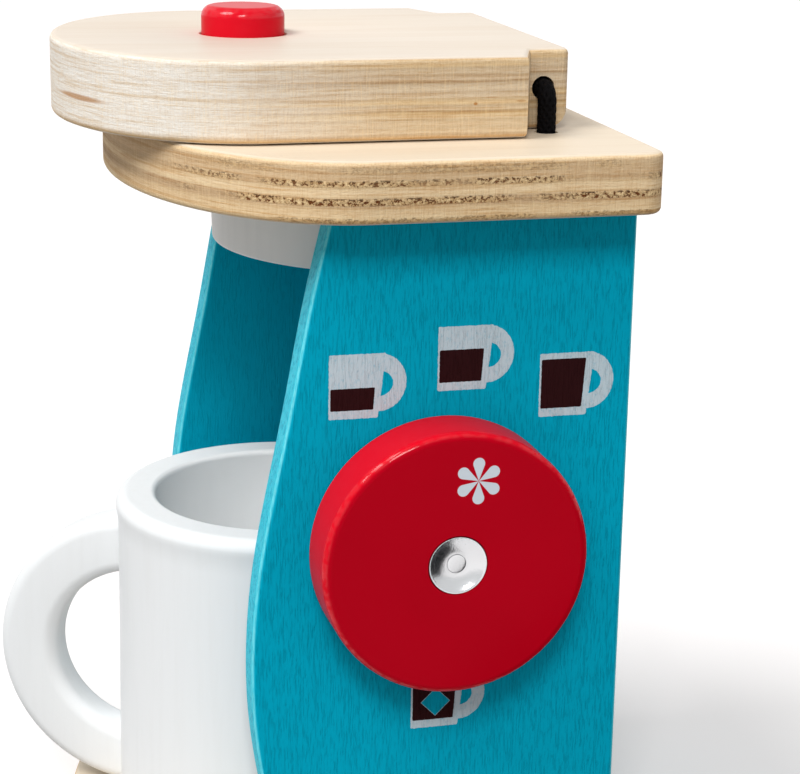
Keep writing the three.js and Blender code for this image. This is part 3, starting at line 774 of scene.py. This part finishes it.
def teal_paint(name, face_axis, print_face=None, pored=0.22):
    """Satin paint over upright grain, with a lighter teal on the edges, which don't face along
    the axis: partly the thinner coat there, partly a painted highlight.
    With print_face, the cups are printed beyond that x."""
    finish = Finish(name, {"Specular IOR Level": 0.03})
    facing = finish.facing[face_axis]
    pores = finish.between(finish.noise((3200, 3200, 270), 4, 0.74), 0.5, 0.66)
    cloud = finish.noise((26, 26, 12), 3, 0.5, (2, 3, 4))
    hair = finish.noise((4600, 4600, 420), 3, 0.6, (4, 1, 8))
    rough_edge = finish.noise((1000, 1000, 700), 4, 0.75, (3, 5, 1))
    colour = finish.over(TEAL, TEAL_DEEP, cloud, 0.35, 0.7, 0.35)
    colour = finish.mix(pores * pored, colour, PORE_TEAL)
    colour = finish.over(colour, HAIR_TEAL, hair, 0.5, 0.72, 0.22)
    # A lighter teal on the rounded edges: partly the thin coat, partly a painted highlight.
    colour = finish.over(colour, TEAL_EDGE_HIGHLIGHT, facing, 0.97, 0.8, 0.6)
    # A pale streaky band along the middle of the rounded edges: partly worn paint, partly a painted
    # highlight.
    worn_and_highlight = finish.window(facing, 0.6, 0.16, 0.14) * finish.between(hair, 0.3, 0.6)
    colour = finish.mix(worn_and_highlight * 0.5, colour, WORN_AND_HIGHLIGHT_TEAL)
    end_grain = finish.between(facing, 0.3, 0.1) * finish.between(rough_edge, 0.5, 0.58)
    colour = finish.mix(end_grain * 0.8, colour, ROUGH_TEAL)
    if print_face is not None:
        colour = print_cups(finish, colour, print_face)
    colour = finish.mix(finish.specks(170, 0.055, 0.06) * 0.6, colour, TEAL_DUST)
    finish.feed("Base Color", colour)
    finish.feed("Roughness", 0.4 + pores * 0.25)
    finish.bump(finish.between(hair, 0.3, 0.8) * 0.3 - pores, 0.05)
    return finish


dial, panel = Room("dial_knob"), Room("right_side_panel")
dial_y, dial_z = dial.middle[1:]
GEM = (-0.1, -34.2)
PRINTED_CUPS = [(-23.0, 39.9, 6.8), (-1.2, 44.5, 4.7), (19.8, 38.0, 1.2), (-5.3, -26.7, 1.2)]
plain_teal = teal_paint("teal_paint", 0, pored=0.1)
rear_teal = teal_paint("teal_paint_rear", 1, pored=0.1)
printed_teal = teal_paint("teal_paint_printed", 0, panel.right)

# %% Side panels and back panel
panel_edge_shares = np.array([
    [1, 0.799], [0.888, 0.848], [0.721, 0.906], [0.609, 0.948], [0.488, 0.986],
    [0.386, 1], [0.293, 0.996], [0.181, 0.967], [0.069, 0.921], [0, 0.888],
])[::-1]


def smooth_through(knots, values, at):
    """Cubics through the places, with equal slope and bend where they meet: the bends come
    from one set of linear equations, and each cubic from the bends at its two ends."""
    step = np.diff(knots)
    slope = np.diff(values) / step
    system = np.eye(len(knots))
    inner = np.arange(1, len(knots) - 1)
    system[inner, inner - 1], system[inner, inner + 1] = step[:-1], step[1:]
    system[inner, inner] = 2 * (step[:-1] + step[1:])
    wanted = np.zeros(len(knots))
    wanted[inner] = 6 * np.diff(slope)
    bend = np.linalg.solve(system, wanted)
    i = np.clip(np.searchsorted(knots, at) - 1, 0, len(step) - 1)
    t = at - knots[i]
    first = slope[i] - step[i] * (2 * bend[i] + bend[i + 1]) / 6
    return values[i] + t * (first + t * (bend[i] / 2 + t * (bend[i + 1] - bend[i]) / (6 * step[i])))


heights = np.linspace(1, 0, 97)
depths = smooth_through(panel_edge_shares[:, 0], panel_edge_shares[:, 1], heights)
front_edge = np.stack([panel.rear - panel.size[1] * depths, panel.foot + panel.size[2] * heights], 1)
panel_outline = closed_outline((panel.rear, panel.foot), (panel.rear, panel.top), front_edge, spacing=4)
PANEL_EASE, BACK_EASE, DIAL_BORE = 1.0, 0.4, 1.6
for name, node, finish in (("side_panel_right", "right_side_panel", printed_teal),
                           ("side_panel_left", "left_side_panel", plain_teal)):
    room = Room(node)
    rings = sawn(panel_outline, eased_section(PANEL_EASE, panel.size[0]), room.left)
    bore = along_x(bar(DIAL_BORE, room.left - OVERRUN, room.right + OVERRUN, (dial_y, dial_z)))
    add_piece(name, along_x(skin(rings)), finish, "machine", [node],
              [bore] if room.right > 0 else ())

back = Room("back_panel")
back_outline = closed_outline((back.foot, back.left), (back.top, back.left),
                              (back.top, back.right), (back.foot, back.right), spacing=4)
back_rings = sawn(back_outline, eased_section(BACK_EASE, back.size[1]), back.front)
add_piece("rear_panel", along_y(skin(back_rings)), rear_teal, "machine", ["back_panel"])


# %% [markdown]
# ## The brew head
# The head is a turned disc under the top board, sawn flat where it meets the back panel. The
# pod drops into the well above it, and a small hole in its underside stands for the spout.
# White satin paint covers it and the mug, smooth, with the wood only just felt through it.

# %% White paint and the brew head
WHITE_GRAIN, WHITE_DUST, WHITE_BORE_LIGHTENED = (226, 227, 226), (196, 190, 180), (249, 250, 250)


def white_paint(name, colour, bore=None):
    """With bore, the paint is lighter within that radius of a centre and above a floor: painted light
    against the shade in the bore.
    """
    finish = Finish(name, {"Specular IOR Level": 0.1})
    grain = finish.noise((500, 500, 36), 4, 0.6)
    skin_marks = finish.noise((900, 900, 900), 2, 0.5, (1, 2, 3))
    tone = finish.over(colour, WHITE_GRAIN, grain, 0.4, 0.8, 0.25)
    tone = finish.mix(finish.specks(150, 0.06, 0.05) * 0.3, tone, WHITE_DUST)
    # Inside the bore the white is lighter: painted light against the shade in the mug.
    if bore is not None:
        radius, centre_y, floor_height = bore
        far = finish.length(finish.x, finish.y - centre_y)
        above = finish.between(finish.z, floor_height, floor_height + 1)
        tone = finish.mix(finish.between(far, radius + 0.9, radius + 0.3) * above, tone, WHITE_BORE_LIGHTENED)
    finish.feed("Base Color", tone)
    finish.feed("Roughness", finish.between(skin_marks, 0.3, 0.8) * 0.12 + 0.36)
    finish.bump(grain * 0.6 + skin_marks * 0.4, 0.035)
    return finish


HEAD_EASE, HEAD_EASE_RINGS, HEAD_DRAFT, HEAD_Y = 0.8, 10, 0.4, 16.0
WELL_FLOOR, WELL_EASE, DRIP_RADIUS, DRIP_EASE = 5, 0.5, 1.9, 0.3
head = Room("brew_head")
head_radius, well_floor = head.radius - HEAD_DRAFT, head.foot + WELL_FLOOR
flat_turn = math.asin((head.rear - HEAD_Y) / head_radius)
head_outline = closed_outline(
    arc((0, HEAD_Y), head_radius, math.pi - flat_turn, 2 * math.pi + flat_turn, 150))
lower_edge = eased_section(HEAD_EASE, head.size[2])[:HEAD_EASE_RINGS]
head_rings = np.array([
    *bored(head_outline, (0, WELL_Y), [
        (DRIP_RADIUS, head.foot + DRIP_EASE), (DRIP_RADIUS + DRIP_EASE, head.foot)]),
    *sawn(head_outline, [*lower_edge, (-HEAD_DRAFT, head.size[2])], head.foot),
    *bored(head_outline, (0, WELL_Y), [
        (WELL_RADIUS, head.top), (WELL_RADIUS, well_floor + WELL_EASE),
        (WELL_RADIUS - WELL_EASE, well_floor), (DRIP_RADIUS, well_floor)]),
])
head_rings[..., 1] = np.minimum(head_rings[..., 1], head.rear)
add_piece("brew_head_turned", skin(head_rings, ring_shaped=True),
          white_paint("white_paint_head", (246, 246, 244)), "machine", ["brew_head"])


# %% [markdown]
# ## The lid
# The lid is thicker plywood of more and paler layers. At the rear it narrows to a tail between
# two notches, where the elastic cord comes up out of the top board and goes through. A stepped
# hole holds the button: a narrow guide above, a pocket for its flange and spring and a shallow
# recess for the cover. The steps are rings of the same skin, and the heel and the cord's bore
# are cut after.

# %% Lid
lid_plies = [
    (0.0, (240, 204, 146)), (0.045, (230, 198, 152)), (0.075, (208, 182, 148)), (0.1, (228, 206, 172)),
    (0.16, (216, 194, 160)), (0.2, (226, 204, 170)), (0.25, (212, 190, 156)), (0.28, (230, 208, 172)),
    (0.33, (220, 194, 150)), (0.355, (196, 168, 130)), (0.375, (226, 204, 170)), (0.42, (208, 186, 154)),
    (0.45, (232, 206, 162)), (0.5, (210, 186, 150)), (0.525, (228, 210, 182)), (0.58, (210, 190, 162)),
    (0.62, (226, 208, 180)), (0.68, (206, 186, 158)), (0.71, (190, 166, 134)), (0.73, (220, 198, 168)),
    (0.78, (204, 182, 152)), (0.82, (222, 202, 172)), (0.87, (206, 184, 152)), (0.9, (226, 198, 154)),
    (0.94, (214, 188, 150)), (0.97, (234, 210, 172)), (1.0, (244, 226, 196)),
]
lid_streaks = [((17.5, -51, 174.3), (12, 12, 0.75), 0.8), ((43.5, 21.2, 175.2), (2, 0.55, 0.4), 1.0),
               ((43.5, 30.4, 175.6), (2, 1.3, 0.35), 0.6), ((43.5, 24.7, 176.4), (2, 1.8, 0.2), 0.4)]
lid = Room("lid")
LID_NOSE, TAIL, TAIL_LENGTH, SLANT, TAIL_CORNER = 35.6, 33, 8.2, 3.9, 1.5
lid_wood = plywood("plywood_lid", lid.foot, lid.top, lid_plies,
                   (228, 216, 201), (226, 204, 174), nose_paling=0.85, streaks=lid_streaks)


def lid_outline():
    """A tail with two round corners, slanted shoulders, straight sides, half an ellipse."""
    side, rear, inner = lid.right, lid.rear, lid.rear - TAIL_LENGTH
    corner = arc((TAIL - TAIL_CORNER, rear - TAIL_CORNER), TAIL_CORNER, 0, QUARTER, 8)
    nose = arc((0, lid.front + LID_NOSE), (side, LID_NOSE), math.pi, 2 * math.pi, 120)
    return closed_outline((side, inner - SLANT), (TAIL, inner), corner, corner[::-1] * (-1, 1),
                          (-TAIL, inner), (-side, inner - SLANT), nose, spacing=1.5)


button, cover = Room("push_button"), Room("button_cover")
button_y = button.middle[1]
GUIDE, POCKET_GAP, SKIN, RUN = 8.85, 0.3, 4.0, 0.1
pocket, cover_hole = button.radius + POCKET_GAP, cover.radius + RUN
shelf, recess = lid.top - SKIN, cover.top + RUN
outline = lid_outline()
lid_rings = sawn(outline, eased_section(EASE, lid.size[2], 10), lid.foot)
lid_rings += bored(outline, (0, button_y), [
    (GUIDE + 0.5, lid.top), (GUIDE + 0.15, lid.top - 0.15), (GUIDE, lid.top - 0.5), (GUIDE, shelf),
    (pocket, shelf), (pocket, recess), (cover_hole, recess), (cover_hole, lid.foot),
])
HEEL, HINGE_INSET, HINGE_RISE, CUTTER_REACH = 4.8, 5.4, 8.1, 60
hinge_y, hinge_z = lid.rear - HINGE_INSET, lid.foot + HINGE_RISE
heel_y, heel_z = lid.rear - HEEL, lid.foot + HEEL
behind, below = lid.rear + OVERRUN, lid.foot - OVERRUN
heel = closed_outline((heel_y, below), (behind, below), (behind, heel_z),
                      arc((heel_y, heel_z), HEEL, 0, -QUARTER, 20), spacing=20)
heel_cutter = along_x(skin([flat_ring(heel, x) for x in (-CUTTER_REACH, CUTTER_REACH)]))
cord_bore = along_x(bar(CORD_BORE, -CUTTER_REACH, CUTTER_REACH, (hinge_y, hinge_z)))
add_piece("lid_board", skin(lid_rings, ring_shaped=True), lid_wood, "lid", ["lid"],
          [heel_cutter, cord_bore])

# %% Button cover and its screws
beech_plies = [(0.0, (214, 178, 132)), (0.5, (206, 170, 124)), (1.0, (214, 180, 134))]
cover_wood = plywood("beech_cover", cover.foot, cover.top, beech_plies,
                     (222, 188, 142), (206, 166, 118))
COVER_EASE = 0.3
cover_steps = eased_section(COVER_EASE, cover.size[2], 4)
cover_profile = [(cover.radius - inset, cover.foot + height) for inset, height in cover_steps]
add_piece("cover_disc", skin(turned(cover_profile, 96, (0, button_y))), cover_wood,
          "lid", ["button_cover"], [countersink(f"cover_screw_{i}", 1) for i in (1, 2)])
for i in (1, 2):
    add_screw(f"cover_wood_screw_{i}", f"cover_screw_{i}", "lid", 1.0, 2.5)


# %% [markdown]
# ## Red paint, the button and the dial
# Button and dial are turned beech under a glossy red coat. The coat is thick and bright where
# it faces the lamp, and shows fine turning marks on the rounded rim. A few specks of dust are
# caught in it. The button is one profile turned round: the flange, the stem and a soft top edge.

# %% Red paint and the button
RED_DUST = (236, 120, 120)


def red_paint(name, light_red, deep_red, gloss, axis):
    """The finish and its colour, not fed yet. The coat lies thicker on edges that are rounded
    away from the axis, and gloss is its weight elsewhere."""
    finish = Finish(name, {"Specular IOR Level": 0.02, "Coat Roughness": 0.12})
    peel = finish.noise((700, 700, 700), 2, 0.5, (3, 1, 2))
    dust = finish.specks(210, 0.05, 0.07)
    colour = finish.over(light_red, deep_red, finish.noise((60, 60, 60), 2), 0.35, 0.7, 0.5)
    colour = finish.mix(dust * 0.55, colour, RED_DUST)
    finish.feed("Roughness", 0.3 + dust * 0.3)
    rounded = finish.window(finish.facing[axis], 0.5, 0.3, 0.14)
    finish.feed("Coat Weight", rounded * 0.5 * finish.between(peel, 0.35, 0.6) + gloss)
    finish.bump(peel + dust * 0.5, 0.02)
    return finish, colour


button_finish, button_colour = red_paint("red_paint_button", (212, 4, 30), (202, 0, 26), 0.19, 2)
button_finish.feed("Base Color", button_colour)
STEM, STEM_EDGE, FLANGE, FLANGE_EDGE = 8.55, 2.2, 2.5, 0.3
foot_z, flange_z, top_z = button.foot, button.foot + FLANGE, button.top
button_profile = [
    (button.radius - FLANGE_EDGE, foot_z), (button.radius, foot_z + FLANGE_EDGE),
    (button.radius, flange_z), (STEM, flange_z), (STEM, top_z - STEM_EDGE - SUPPORT),
    *arc((STEM - STEM_EDGE, top_z - STEM_EDGE), STEM_EDGE, 0, QUARTER, 14),
    (STEM - STEM_EDGE - SUPPORT, top_z),
]
add_piece("button_cap", skin(turned(button_profile, 96, (0, button_y))), button_finish,
          "button", ["push_button"])


# %% [markdown]
# ## The dial and its cup washer
# The dial turns on a screw that sits in a dished steel washer, let in flush with the face. A
# white mark of six drop-shaped petals shows which way it points. The mark could be a decal
# on its own mesh, but as a formula in the paint it turns with the dial and has a clean edge:
# the plane is folded into one sixth, and a petal is a circle with two tangents to the middle.

# %% Dial
def petals(finish, centre_y, centre_z, far, radius):
    """Signed distance of six petals: fold the angle to one sixth, then take the larger of a
    circle at the petal's end and the wedge from the middle that touches it."""
    across, rise = finish.y - centre_y, finish.z - centre_z
    angle = finish.maths("ARCTAN2", across, rise)
    sixth = math.pi / 3
    folded = abs(angle - finish.maths("ROUND", angle / sixth) * sixth)
    distance = finish.length(across, rise)
    along = distance * finish.maths("COSINE", folded)
    aside = distance * finish.maths("SINE", folded)
    circle = radius - finish.length(along - far, aside)
    spread = math.asin(radius / far)
    wedge = (along * math.tan(spread) - aside) * math.cos(spread)
    return finish.most(circle, finish.least(wedge, far * math.cos(spread) ** 2 - along))


def on_dial_axis(profile, steps, **closing):
    """A piece turned about the dial's axis: its heights go outwards from the panel."""
    return along_x(skin(turned(profile, steps, (dial_y, dial_z)), **closing))


# The dial is given a darker red than the button, though both are one paint: painted shade on the dial.
dial_finish, dial_colour = red_paint("red_paint_dial", (186, 0, 25), (180, 0, 23), 0.03, 0)
DIAL_RIM_HIGHLIGHT_RED, MARK_WHITE = (216, 12, 34), (214, 222, 230)
MARK_Y, MARK_Z, PETAL_REACH, PETAL_RADIUS = 3.7, 17.0, 3.5, 1.2
# The rounded rim gets a brighter red than the face: a painted highlight.
dial_rim_highlight = dial_finish.between(dial_finish.facing[0], 0.96, 0.7)
dial_colour = dial_finish.mix(dial_rim_highlight, dial_colour, DIAL_RIM_HIGHLIGHT_RED)
dial_mark = petals(dial_finish, dial_y + MARK_Y, dial_z + MARK_Z, PETAL_REACH, PETAL_RADIUS)
dial_front = dial_finish.between(dial_finish.x, dial.right - 0.3, dial.right - 0.2)
dial_mark = dial_finish.between(dial_mark, -0.03, 0.06) * dial_front
dial_finish.feed("Base Color", dial_finish.mix(dial_mark, dial_colour, MARK_WHITE))

DIAL_EDGE, DIAL_BACK, SCREW_GAP = 1.7, 0.8, 1.8
WASHER_WALL, WASHER_GAP, SEAT_GAP = 0.3, 0.25, 0.1
washer = Room("dial_cup_washer")
dial_radius, washer_radius = dial.size[2] / 2, washer.size[2] / 2
back_radius, front_radius = dial_radius - DIAL_BACK, dial_radius - DIAL_EDGE
back_x, front_x, seat_x = dial.left, dial.right, washer.left - SEAT_GAP
dial_profile = [
    (SCREW_GAP, back_x), (back_radius - SUPPORT, back_x),
    *arc((back_radius, back_x + DIAL_BACK), DIAL_BACK, -QUARTER, 0, 6),
    (dial_radius, back_x + DIAL_BACK + SUPPORT), (dial_radius, front_x - DIAL_EDGE - SUPPORT),
    *arc((front_radius, front_x - DIAL_EDGE), DIAL_EDGE, 0, QUARTER, 12),
    (front_radius - SUPPORT, front_x), (washer_radius + WASHER_GAP, front_x),
    (washer_radius + WASHER_GAP, seat_x), (SCREW_GAP, seat_x),
]
add_piece("dial_disc", on_dial_axis(dial_profile, 192, ring_shaped=True), dial_finish,
          "dial", ["dial_knob"])

# %% Cup washer, dial screw and nut
HOLE, FLAT, HEAD_RISE, DOME, HEAD_LIFT, DISH_STEPS = 1.65, 1.95, 1.0, 0.08, 0.05, 20
HEAD_RADIUS, SHANK, SHANK_EDGE = 1.85, 1.5, 0.3
dish_steel = steel("dish_steel", 0.16, 0.03)
bolt = Room("dial_screw")
dish_floor, head_x = bolt.right - DOME, bolt.right - HEAD_RISE
sweep = np.linspace(0, 1, DISH_STEPS)
rim = washer_radius - WASHER_WALL
dish = np.stack([rim - (rim - FLAT) * sweep,
                 washer.right - (washer.right - dish_floor) * (1 - (1 - sweep) ** 2)], 1)
washer_profile = [
    (HOLE, washer.left), (washer_radius, washer.left), (washer_radius, washer.right),
    *dish, (FLAT, head_x - HEAD_LIFT), (HOLE, head_x - HEAD_LIFT),
]
add_piece("cup_washer", on_dial_axis(washer_profile, 96, ring_shaped=True), dish_steel,
          "dial", ["dial_cup_washer"])

dome = arc((0, dish_floor), (HEAD_RADIUS, DOME), 0, QUARTER, 12)[:-1]
bolt_profile = [(SHANK - SHANK_EDGE, bolt.left), (SHANK, bolt.left + SHANK_EDGE),
                (SHANK, head_x), (HEAD_RADIUS, head_x), *dome]
bolt_poles = [[dial_y, dial_z, bolt.left], [dial_y, dial_z, bolt.right]]
add_piece("dial_bolt", on_dial_axis(bolt_profile, 48, poles=bolt_poles), dish_steel,
          "machine", ["dial_screw"])

NUT_STEPS, NUT_CORNER, NUT_EDGE, NUT_GAP = 60, 1.2, 0.5, 0.1
nut = Room("dial_nut")
nut_half = nut.size[1:].min() / 2


def nut_ring(limit, height):
    """A hexagon cut back to a circle of the given radius, which leaves the chamfer's curves: the
    flat's distance over the cosine of the angle from the middle of its side, or the limit."""
    angle = np.arange(NUT_STEPS) * 2 * math.pi / NUT_STEPS
    beside = (angle + math.pi / 6) % (math.pi / 3) - math.pi / 6
    reach = np.minimum(nut_half / np.cos(beside), limit)
    hexagon = np.stack([dial_y + reach * np.cos(angle), dial_z + reach * np.sin(angle)], 1)
    return flat_ring(hexagon, height)


nut_rings = [nut_ring(limit * nut_half, x) for limit, x in (
    (1, nut.left), (NUT_CORNER, nut.left + NUT_EDGE),
    (NUT_CORNER, nut.right - NUT_EDGE), (1, nut.right))]
nut_bore = [(SHANK + NUT_GAP, nut.right), (SHANK + NUT_GAP, nut.left)]
nut_rings += turned(nut_bore, NUT_STEPS, (dial_y, dial_z))
add_piece("dial_nut_hex", along_x(skin(nut_rings, ring_shaped=True)), screw_finish,
          "machine", ["dial_nut"])


# %% [markdown]
# ## The elastic cord
# A black braided elastic comes up through the top board, crosses the lid's tail and goes down
# again, and the lid turns on it. A plain tube with a bump would look like rubber, so the
# braid is in the shape: the radius rises where two families of strands cross.

# %% Elastic cord and its clips
def cord_path(reach, low, high, bend, spacing):
    """A leg, a quarter circle, a straight run, a quarter circle and a leg, in the (X, Z) plane,
    read at even steps of its length."""
    line = np.vstack([
        [reach, low], arc((reach - bend, high - bend), bend, 0, QUARTER, 16),
        arc((bend - reach, high - bend), bend, QUARTER, 2 * QUARTER, 16), [-reach, low],
    ])
    even = np.arange(0, travelled(line)[-1], spacing)
    return even, read_along(line, even)


BEND, CORD_STEP, CORD_POINTS = 2.6, 0.16, 48
STRANDS, PITCH, RELIEF, STRAND_ROUND = 8, 3.4, 0.42 * 1.4, 0.7
travel, path_xz = cord_path(cord_x, cord.foot, hinge_z, BEND, CORD_STEP)
heading = np.gradient(path_xz, axis=0)
heading = heading / np.linalg.norm(heading, axis=1)[:, None]
around = np.arange(CORD_POINTS) * 2 * math.pi / CORD_POINTS
strand, twist = STRANDS / 2 * around[None, :], 2 * math.pi * travel[:, None] / PITCH
crossing = np.maximum(np.abs(np.cos(strand + twist)), np.abs(np.cos(strand - twist)))
braid = cord_radius - RELIEF * (1 - crossing ** STRAND_ROUND)
aside = np.stack([-heading[:, 1], 0 * travel, heading[:, 0]], -1)[:, None]
cord_line = np.stack([path_xz[:, 0], 0 * travel + cord_y, path_xz[:, 1]], -1)[:, None]
cord_rings = (cord_line + aside * (braid * np.sin(around))[..., None]
              + np.array([0, 1, 0]) * (braid * np.cos(around))[..., None])
cord_finish = Finish("black_elastic", {"Specular IOR Level": 0.06})
yarn = cord_finish.noise((2600, 2600, 900), 3, 0.7)
cord_finish.feed("Base Color", cord_finish.over((5, 4, 5), (22, 20, 22), yarn, 0.4, 0.8, 1))
cord_finish.feed("Roughness", cord_finish.between(yarn, 0.3, 0.8) * 0.2 + 0.7)
cord_finish.bump(yarn, 0.06)
print("elastic cord in mm:", round(float(travel[-1]), 1))
add_piece("elastic_cord", outward(cord_rings), cord_finish, "machine", ["hinge_cord"])

CLIP_GAP, CLIP_WAIST = 0.1, 0.35
for side in ("left", "right"):
    clip = Room(f"cord_clip_{side}")
    outer, bore = clip.radius, cord_radius + CLIP_GAP
    lower = [(bore, 0), (outer - 0.2, 0), (outer, 0.3), (outer, 1.4), (outer - CLIP_WAIST, 2.0)]
    profile = [(radius, clip.foot + rise) for radius, rise in lower]
    profile += [(radius, clip.top - rise) for radius, rise in reversed(lower)]
    add_piece(f"clip_{side}", skin(turned(profile, 48, clip.middle[:2]), ring_shaped=True),
              screw_finish, "machine", [f"cord_clip_{side}"])


# %% [markdown]
# ## The mug
# The mug is turned from one block: a rolled lip, a straight bore and a filleted floor, all in
# one profile. Its handle is a ring sawn from board with well rounded edges, glued and dowelled
# on, a little turned to one side. Carrying a rounded rectangle round an ellipse whose centre
# lies inside the wall gives that shape, and at each root the points are pushed back to the
# mug's wall, so the seam follows the round body.

# %% Mug body
mug = Room("mug_body")
MUG_LIP, MUG_EDGE, BORE, MUG_FLOOR, FILLET, INNER_EDGE = 0.5, 2.6, 27.2, 9, 5, 1.2
mug_y, lip_radius = mug.middle[1], mug.size[1] / 2
mug_finish = white_paint("white_paint_mug", (235, 237, 238), (BORE, mug_y, mug.foot + MUG_FLOOR - 2))
mug_profile = [
    (1.0, mug.foot), (lip_radius - MUG_EDGE / 2 - SUPPORT, mug.foot),
    *arc((lip_radius - MUG_EDGE / 2, mug.foot + MUG_EDGE / 2), MUG_EDGE / 2, -QUARTER, 0, 8),
    (lip_radius - 0.2 * MUG_LIP, mug.foot + 8),
    (lip_radius - MUG_LIP, mug.top - 3 * MUG_EDGE),
    (lip_radius - 0.75 * MUG_LIP, mug.top - 2 * MUG_EDGE),
    (lip_radius - 0.25 * MUG_LIP, mug.top - 1.4 * MUG_EDGE),
    *arc((lip_radius - MUG_EDGE, mug.top - MUG_EDGE), MUG_EDGE, 0, QUARTER, 14),
    (lip_radius - MUG_EDGE - SUPPORT, mug.top), (BORE + INNER_EDGE + SUPPORT, mug.top),
    *arc((BORE + INNER_EDGE, mug.top - INNER_EDGE), INNER_EDGE, QUARTER, 2 * QUARTER, 8),
    (BORE, mug.top - INNER_EDGE - SUPPORT),
    *arc((BORE - FILLET, mug.foot + MUG_FLOOR + FILLET), FILLET, 0, -QUARTER, 12),
    (1.0, mug.foot + MUG_FLOOR),
]
add_piece("mug_turned", skin(turned(mug_profile, 160, (0, mug_y))), mug_finish,
          "mug", ["mug_body"])

# %% Mug handle
handle = Room("mug_handle")
HANDLE_TURN = math.radians(-26)
WALL, REACH, SINK, BAND, HANDLE_EASE, THICK, ROOT = 35.4, 29.0, 4, 13, 3, 10.6, 35.6
RING_FROM, RING_TO, RING_STEPS, CORNER_POINTS = 0.86, 3.14, 121, 9
half_height = handle.size[2] / 2
turn = np.linspace(RING_FROM * QUARTER, RING_TO * QUARTER, RING_STEPS)[:, None]
outer = np.stack([(SINK + REACH) * np.cos(turn), half_height * np.sin(turn)], -1)
inner = np.stack([(SINK + REACH - BAND) * np.cos(turn), (half_height - BAND) * np.sin(turn)], -1)
centre_line, across = (outer + inner) / 2, (outer - inner) / 2
half_band = np.linalg.norm(across, axis=-1, keepdims=True)
bend_angle = np.concatenate([
    np.linspace(corner, corner + QUARTER, CORNER_POINTS) for corner in np.arange(4) * QUARTER])
corner_signs = np.repeat([[1, 1], [-1, 1], [-1, -1], [1, -1]], CORNER_POINTS, axis=0)
outwards = corner_signs[:, 0] * (half_band[..., 0] - HANDLE_EASE) + HANDLE_EASE * np.cos(bend_angle)
sideways = corner_signs[:, 1] * (THICK / 2 - HANDLE_EASE) + HANDLE_EASE * np.sin(bend_angle)
band = centre_line + across / half_band * outwards[..., None]
handle_x = np.broadcast_to(sideways, outwards.shape)
handle_y = np.minimum(band[..., 0] + SINK - WALL, -np.sqrt(ROOT ** 2 - handle_x ** 2))
handle_rings = np.stack([
    handle_x * math.cos(HANDLE_TURN) - handle_y * math.sin(HANDLE_TURN),
    handle_x * math.sin(HANDLE_TURN) + handle_y * math.cos(HANDLE_TURN) + mug_y,
    handle.middle[2] + band[..., 1],
], -1)
add_piece("mug_ring_handle", outward(handle_rings), mug_finish, "mug", ["mug_handle"])


# %% [markdown]
# ## The button's spring
# A coil of steel wire stands on the cover disc and lifts the button by its flange. A Screw
# modifier can turn a circle into such a coil. Here its rings come straight from the helix, so
# the coil fills the room that the frame gives it. The real spring shortens as the button goes
# down, but this one keeps its length.

# %% Coil spring
WIRE, TURNS, RINGS_PER_TURN, RING_POINTS = 0.35, 4, 36, 12
spring_room = Room("button_spring")


def coil(room):
    """A helix in a box: a circle of wire lies in the plane of the outward direction and of
    that direction crossed with the helix's slope, at even steps of its turns."""
    share = np.linspace(0, 1, TURNS * RINGS_PER_TURN + 1)[:, None]
    turn, flat = 2 * math.pi * TURNS * share, 0 * share
    radius, rise = room.radius - WIRE, room.size[2] - 2 * WIRE
    pitch_slope = rise / (2 * math.pi * TURNS)
    slope = np.hstack([-radius * np.sin(turn), radius * np.cos(turn), flat + pitch_slope])
    slope = slope / np.linalg.norm(slope, axis=1, keepdims=True)
    outwards = np.hstack([np.cos(turn), np.sin(turn), flat])
    upwards = np.cross(outwards, slope)
    foot = (0, room.middle[1], room.foot + WIRE)
    helix = outwards * radius + foot + share * (0, 0, rise)
    around = (np.arange(RING_POINTS) * 2 * math.pi / RING_POINTS)[None, :, None]
    wire = np.cos(around) * outwards[:, None] + np.sin(around) * upwards[:, None]
    return helix[:, None] + WIRE * wire


spring = add_piece("button_coil", outward(coil(spring_room)), screw_finish,
                   "lid", ["button_spring"])
press = max(abs(limit) for joint in frame["joints"] if joint["name"] == "button_press"
            for limit in joint["range_m"]) / MM
spring_height = spring_room.size[2]
(spring_height - press) / spring_height
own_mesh(spring)
print(f"spring: {spring_height:.2f} mm high, pressed by {press:.2f} mm")


# %% [markdown]
# ## Pieces inside
# Dowels are hidden when the toy is whole, so their CAD shapes stay. They still get the beech of
# their slot, because the lid opens and the mug comes out.

# %% Finishes of the hidden pieces
dowel_wood = plywood("beech_dowel", 0, 200, [(0.0, (212, 178, 132)), (1.0, (208, 172, 126))],
                     (214, 180, 136), (200, 160, 112))
for node, obj in frame["nodes"].items():
    if node.startswith(("top_dowel", "head_dowel", "handle_dowel")):
        obj.data.materials.clear()
        obj.data.materials.append(dowel_wood.material)
        print("finish on", node)
